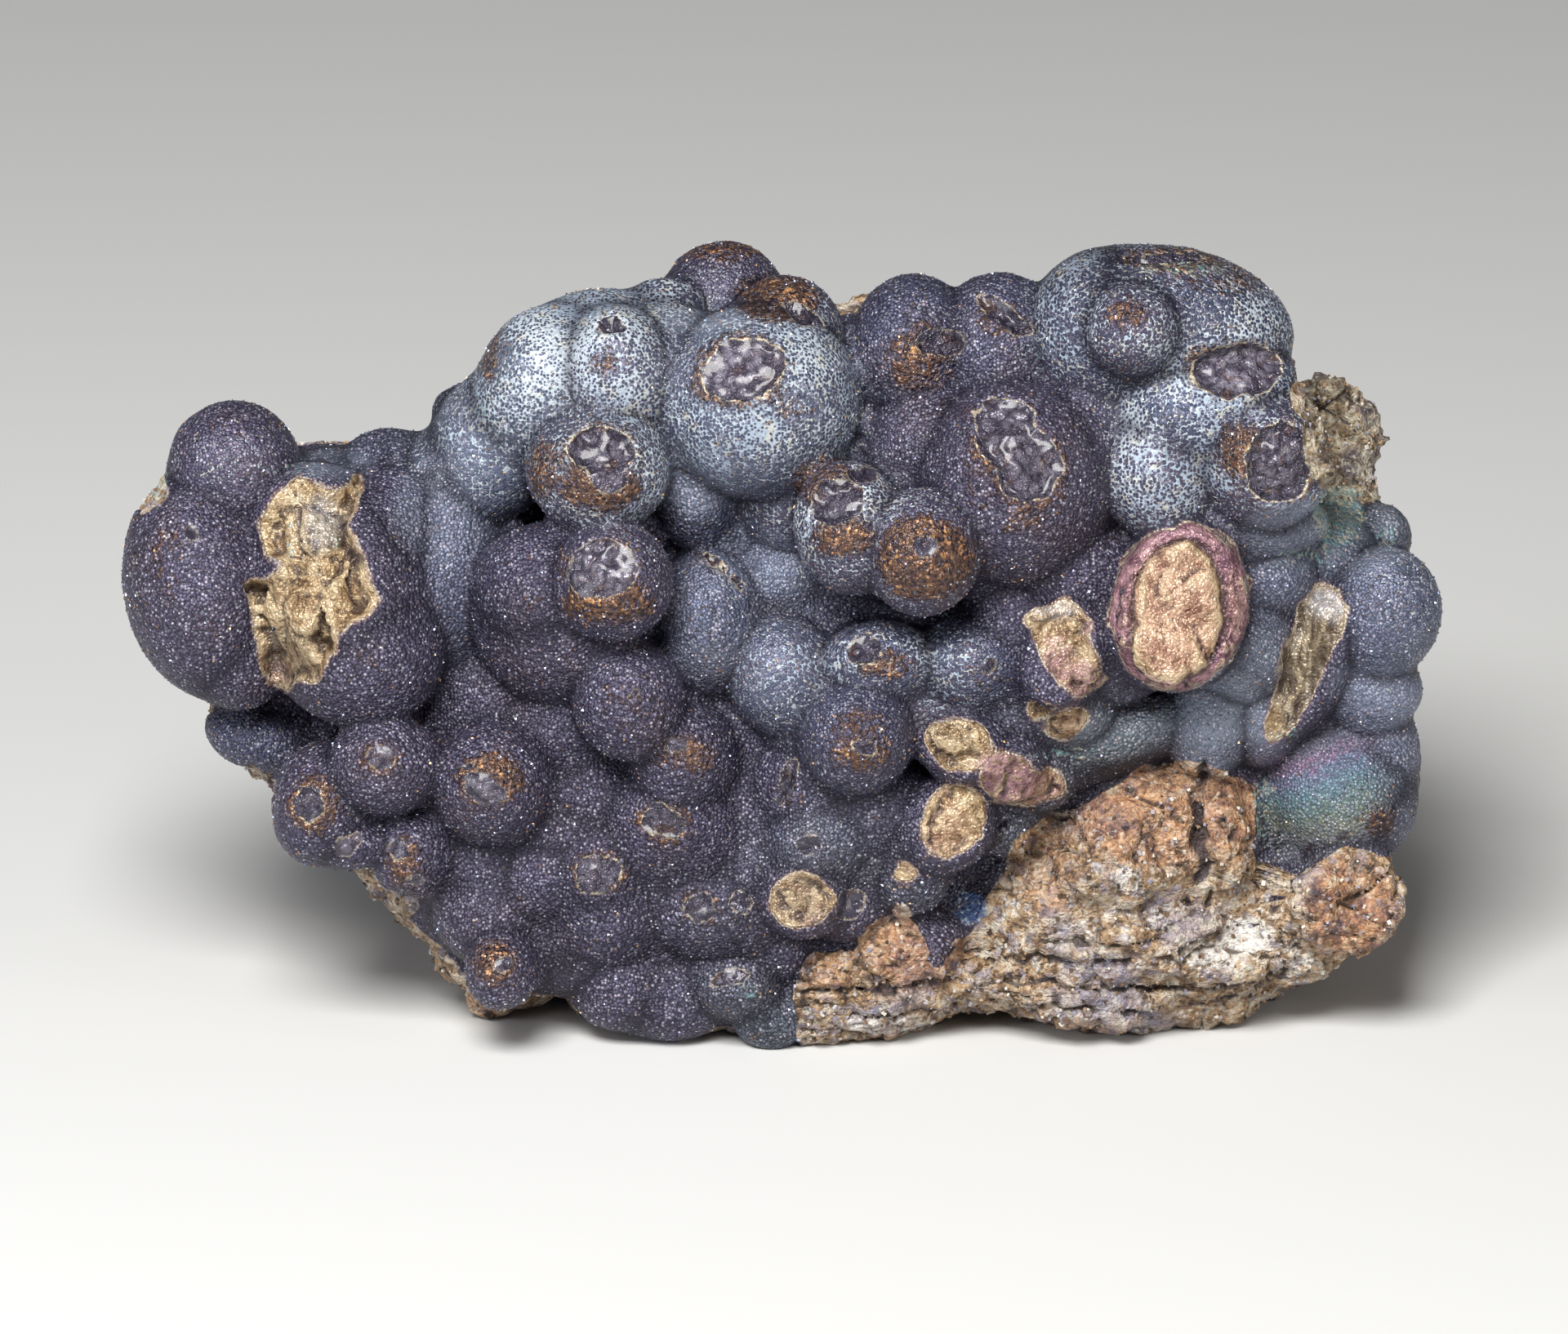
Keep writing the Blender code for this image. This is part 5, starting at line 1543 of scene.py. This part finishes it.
# %% [markdown]
# ## Crystals on the skin, grit on the rock
# Under a hand lens the skin glitters with tiny crystals, and the broken rock is gritty. Thousands of
# loose bits are work for Geometry Nodes: points are strewn over the fine mesh, as thick as a stored
# fact says, and each gets a small solid, turned and sized at random. The bits are made real at the end,
# so that they are kept as mesh.


# %% A net of nodes that strews small solids
STREWING_INPUTS = {
    "Surface": "NodeSocketGeometry",
    "Share": "NodeSocketString",
    "Bits to a square metre": "NodeSocketFloat",
    "Smallest": "NodeSocketFloat",
    "Largest": "NodeSocketFloat",
    "Finish": "NodeSocketMaterial",
}
STREW_SEED, SIZE_SEED, TINT_SEED = 5, 9, 13
FULL_TURN = 6.283


def strewing(name, solid):
    """A Geometry Nodes tree that makes bits from a mesh, the fact that says where they lie, how many
    to a square metre, their sizes and their material."""
    tree = bpy.data.node_groups.new(name, "GeometryNodeTree")
    for label, kind in STREWING_INPUTS.items():
        tree.interface.new_socket(label, in_out="INPUT", socket_type=kind)
    tree.interface.new_socket("Bits", in_out="OUTPUT", socket_type="NodeSocketGeometry")
    given = tree.nodes.new("NodeGroupInput").outputs

    def node(kind, settings, inputs):
        return add_node(tree, kind, settings, inputs).outputs

    share = node("GeometryNodeInputNamedAttribute", {"data_type": "FLOAT"}, {0: given["Share"]})
    thickness = node(
        "ShaderNodeMath", {"operation": "MULTIPLY"}, {0: share[0], 1: given["Bits to a square metre"]}
    )
    strewn = node(
        "GeometryNodeDistributePointsOnFaces", {"distribute_method": "RANDOM"},
        {"Mesh": given["Surface"], "Density": thickness[0], "Seed": STREW_SEED},
    )
    turn = node("FunctionNodeRandomValue", {"data_type": "FLOAT_VECTOR"}, {"Max": (FULL_TURN,) * 3})
    size = node(
        "FunctionNodeRandomValue", {"data_type": "FLOAT"},
        {2: given["Smallest"], 3: given["Largest"], "Seed": SIZE_SEED},
    )
    tint = node("FunctionNodeRandomValue", {"data_type": "FLOAT"}, {2: 0.0, 3: 1.0, "Seed": TINT_SEED})
    placed = node(
        "GeometryNodeInstanceOnPoints", None,
        {
            "Points": strewn["Points"], "Instance": node(*solid)["Mesh"],
            "Rotation": turn["Value"], "Scale": size[1],
        },
    )
    marked = node(
        "GeometryNodeStoreNamedAttribute", {"data_type": "FLOAT", "domain": "INSTANCE"},
        {"Geometry": placed[0], "Name": "tint", "Value": tint[1]},
    )
    real = node("GeometryNodeRealizeInstances", None, {"Geometry": marked[0]})
    dressed = node("GeometryNodeSetMaterial", None, {"Geometry": real[0], "Material": given["Finish"]})
    node("NodeGroupOutput", None, {"Bits": dressed[0]})
    return tree


def strewn_over(thing, name, tree, given):
    """A new piece made of the bits alone."""
    carrier = new_object("carrier", thing.data)
    net = carrier.modifiers.new("strewn", "NODES")
    net.node_group = tree
    for socket in tree.interface.items_tree:
        if socket.name in given:
            net[socket.identifier] = given[socket.name]
    mesh = worked_in(carrier)
    bpy.data.objects.remove(carrier)
    mesh.name = name
    return new_object(name, mesh)


# %% Finish of the bits
def bit_finish(name, hues, rough, metallic):
    """Each bit keeps one hue of the row, a little uneven."""
    paint = Paint(name)
    uneven = paint.noise(paint.place(), 3.0, 2.0)
    hue = paint.ramp(paint.fact("tint") + (uneven - 0.5) * 0.3, *hues)
    return paint.finish(Base_Color=hue, Roughness=rough + uneven * 0.3, Metallic=metallic)


CRYSTAL_HUES = (
    (0.0, rgb(70, 64, 86)), (0.35, rgb(126, 120, 142)), (0.6, rgb(150, 166, 196)),
    (0.8, rgb(206, 208, 218)), (0.93, rgb(196, 150, 100)),
)
GRIT_HUES = (
    (0.0, ROCK_DARK_AND_SHADE), (0.3, ROCK_BROWN), (0.6, ROCK_TAN), (0.78, ROCK_LILAC), (0.92, ROCK_PALE),
)

# %% Strew the crystals and the grit
CRYSTAL = ("GeometryNodeMeshCone", {"fill_type": "NGON"}, {"Vertices": 3, "Radius Top": 0.0, "Depth": 1.5})
GRAIN = ("GeometryNodeMeshCube", None, {"Size": (1.3, 1.0, 0.8)})
BITS = (
    # name, tree, solid, fact, bits to a square mm, smallest and largest in mm, finish
    ("skin_crystals", "strew_crystals", CRYSTAL, "felt", 4.5, 0.04, 0.10,
     bit_finish("crystal_glitter", CRYSTAL_HUES, 0.15, 0.7)),
    ("rock_grit", "strew_grit", GRAIN, "grit", 1.8, 0.08, 0.22,
     bit_finish("rock_grit", GRIT_HUES, 0.4, 0.05)),
)
strewn_pieces = []
for name, tree_name, solid, share, thickness, smallest, largest, finish in BITS:
    given = {
        "Share": share, "Bits to a square metre": thickness / MM**2,
        "Smallest": smallest * MM, "Largest": largest * MM, "Finish": finish,
    }
    strewn_pieces.append(strewn_over(stone, name, strewing(tree_name, solid), given))
    print(name, len(strewn_pieces[-1].data.polygons), "faces")

# %% [markdown]
# ## Finish
# The fine mesh gets its material and its name, rides on the one body, and stands for the solid in the
# picture.

# %% Dress the stone
stone.name = stone.data.name = "chalcopyrite_stone"
stone.data.materials.clear()
stone.data.materials.append(stone_material())
stone.data.shade_smooth()
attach(stone, "root")
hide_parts(NODE)
for scattered in strewn_pieces:
    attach(scattered, "root")
print("nodes in the material:", len(stone.data.materials[0].node_tree.nodes))
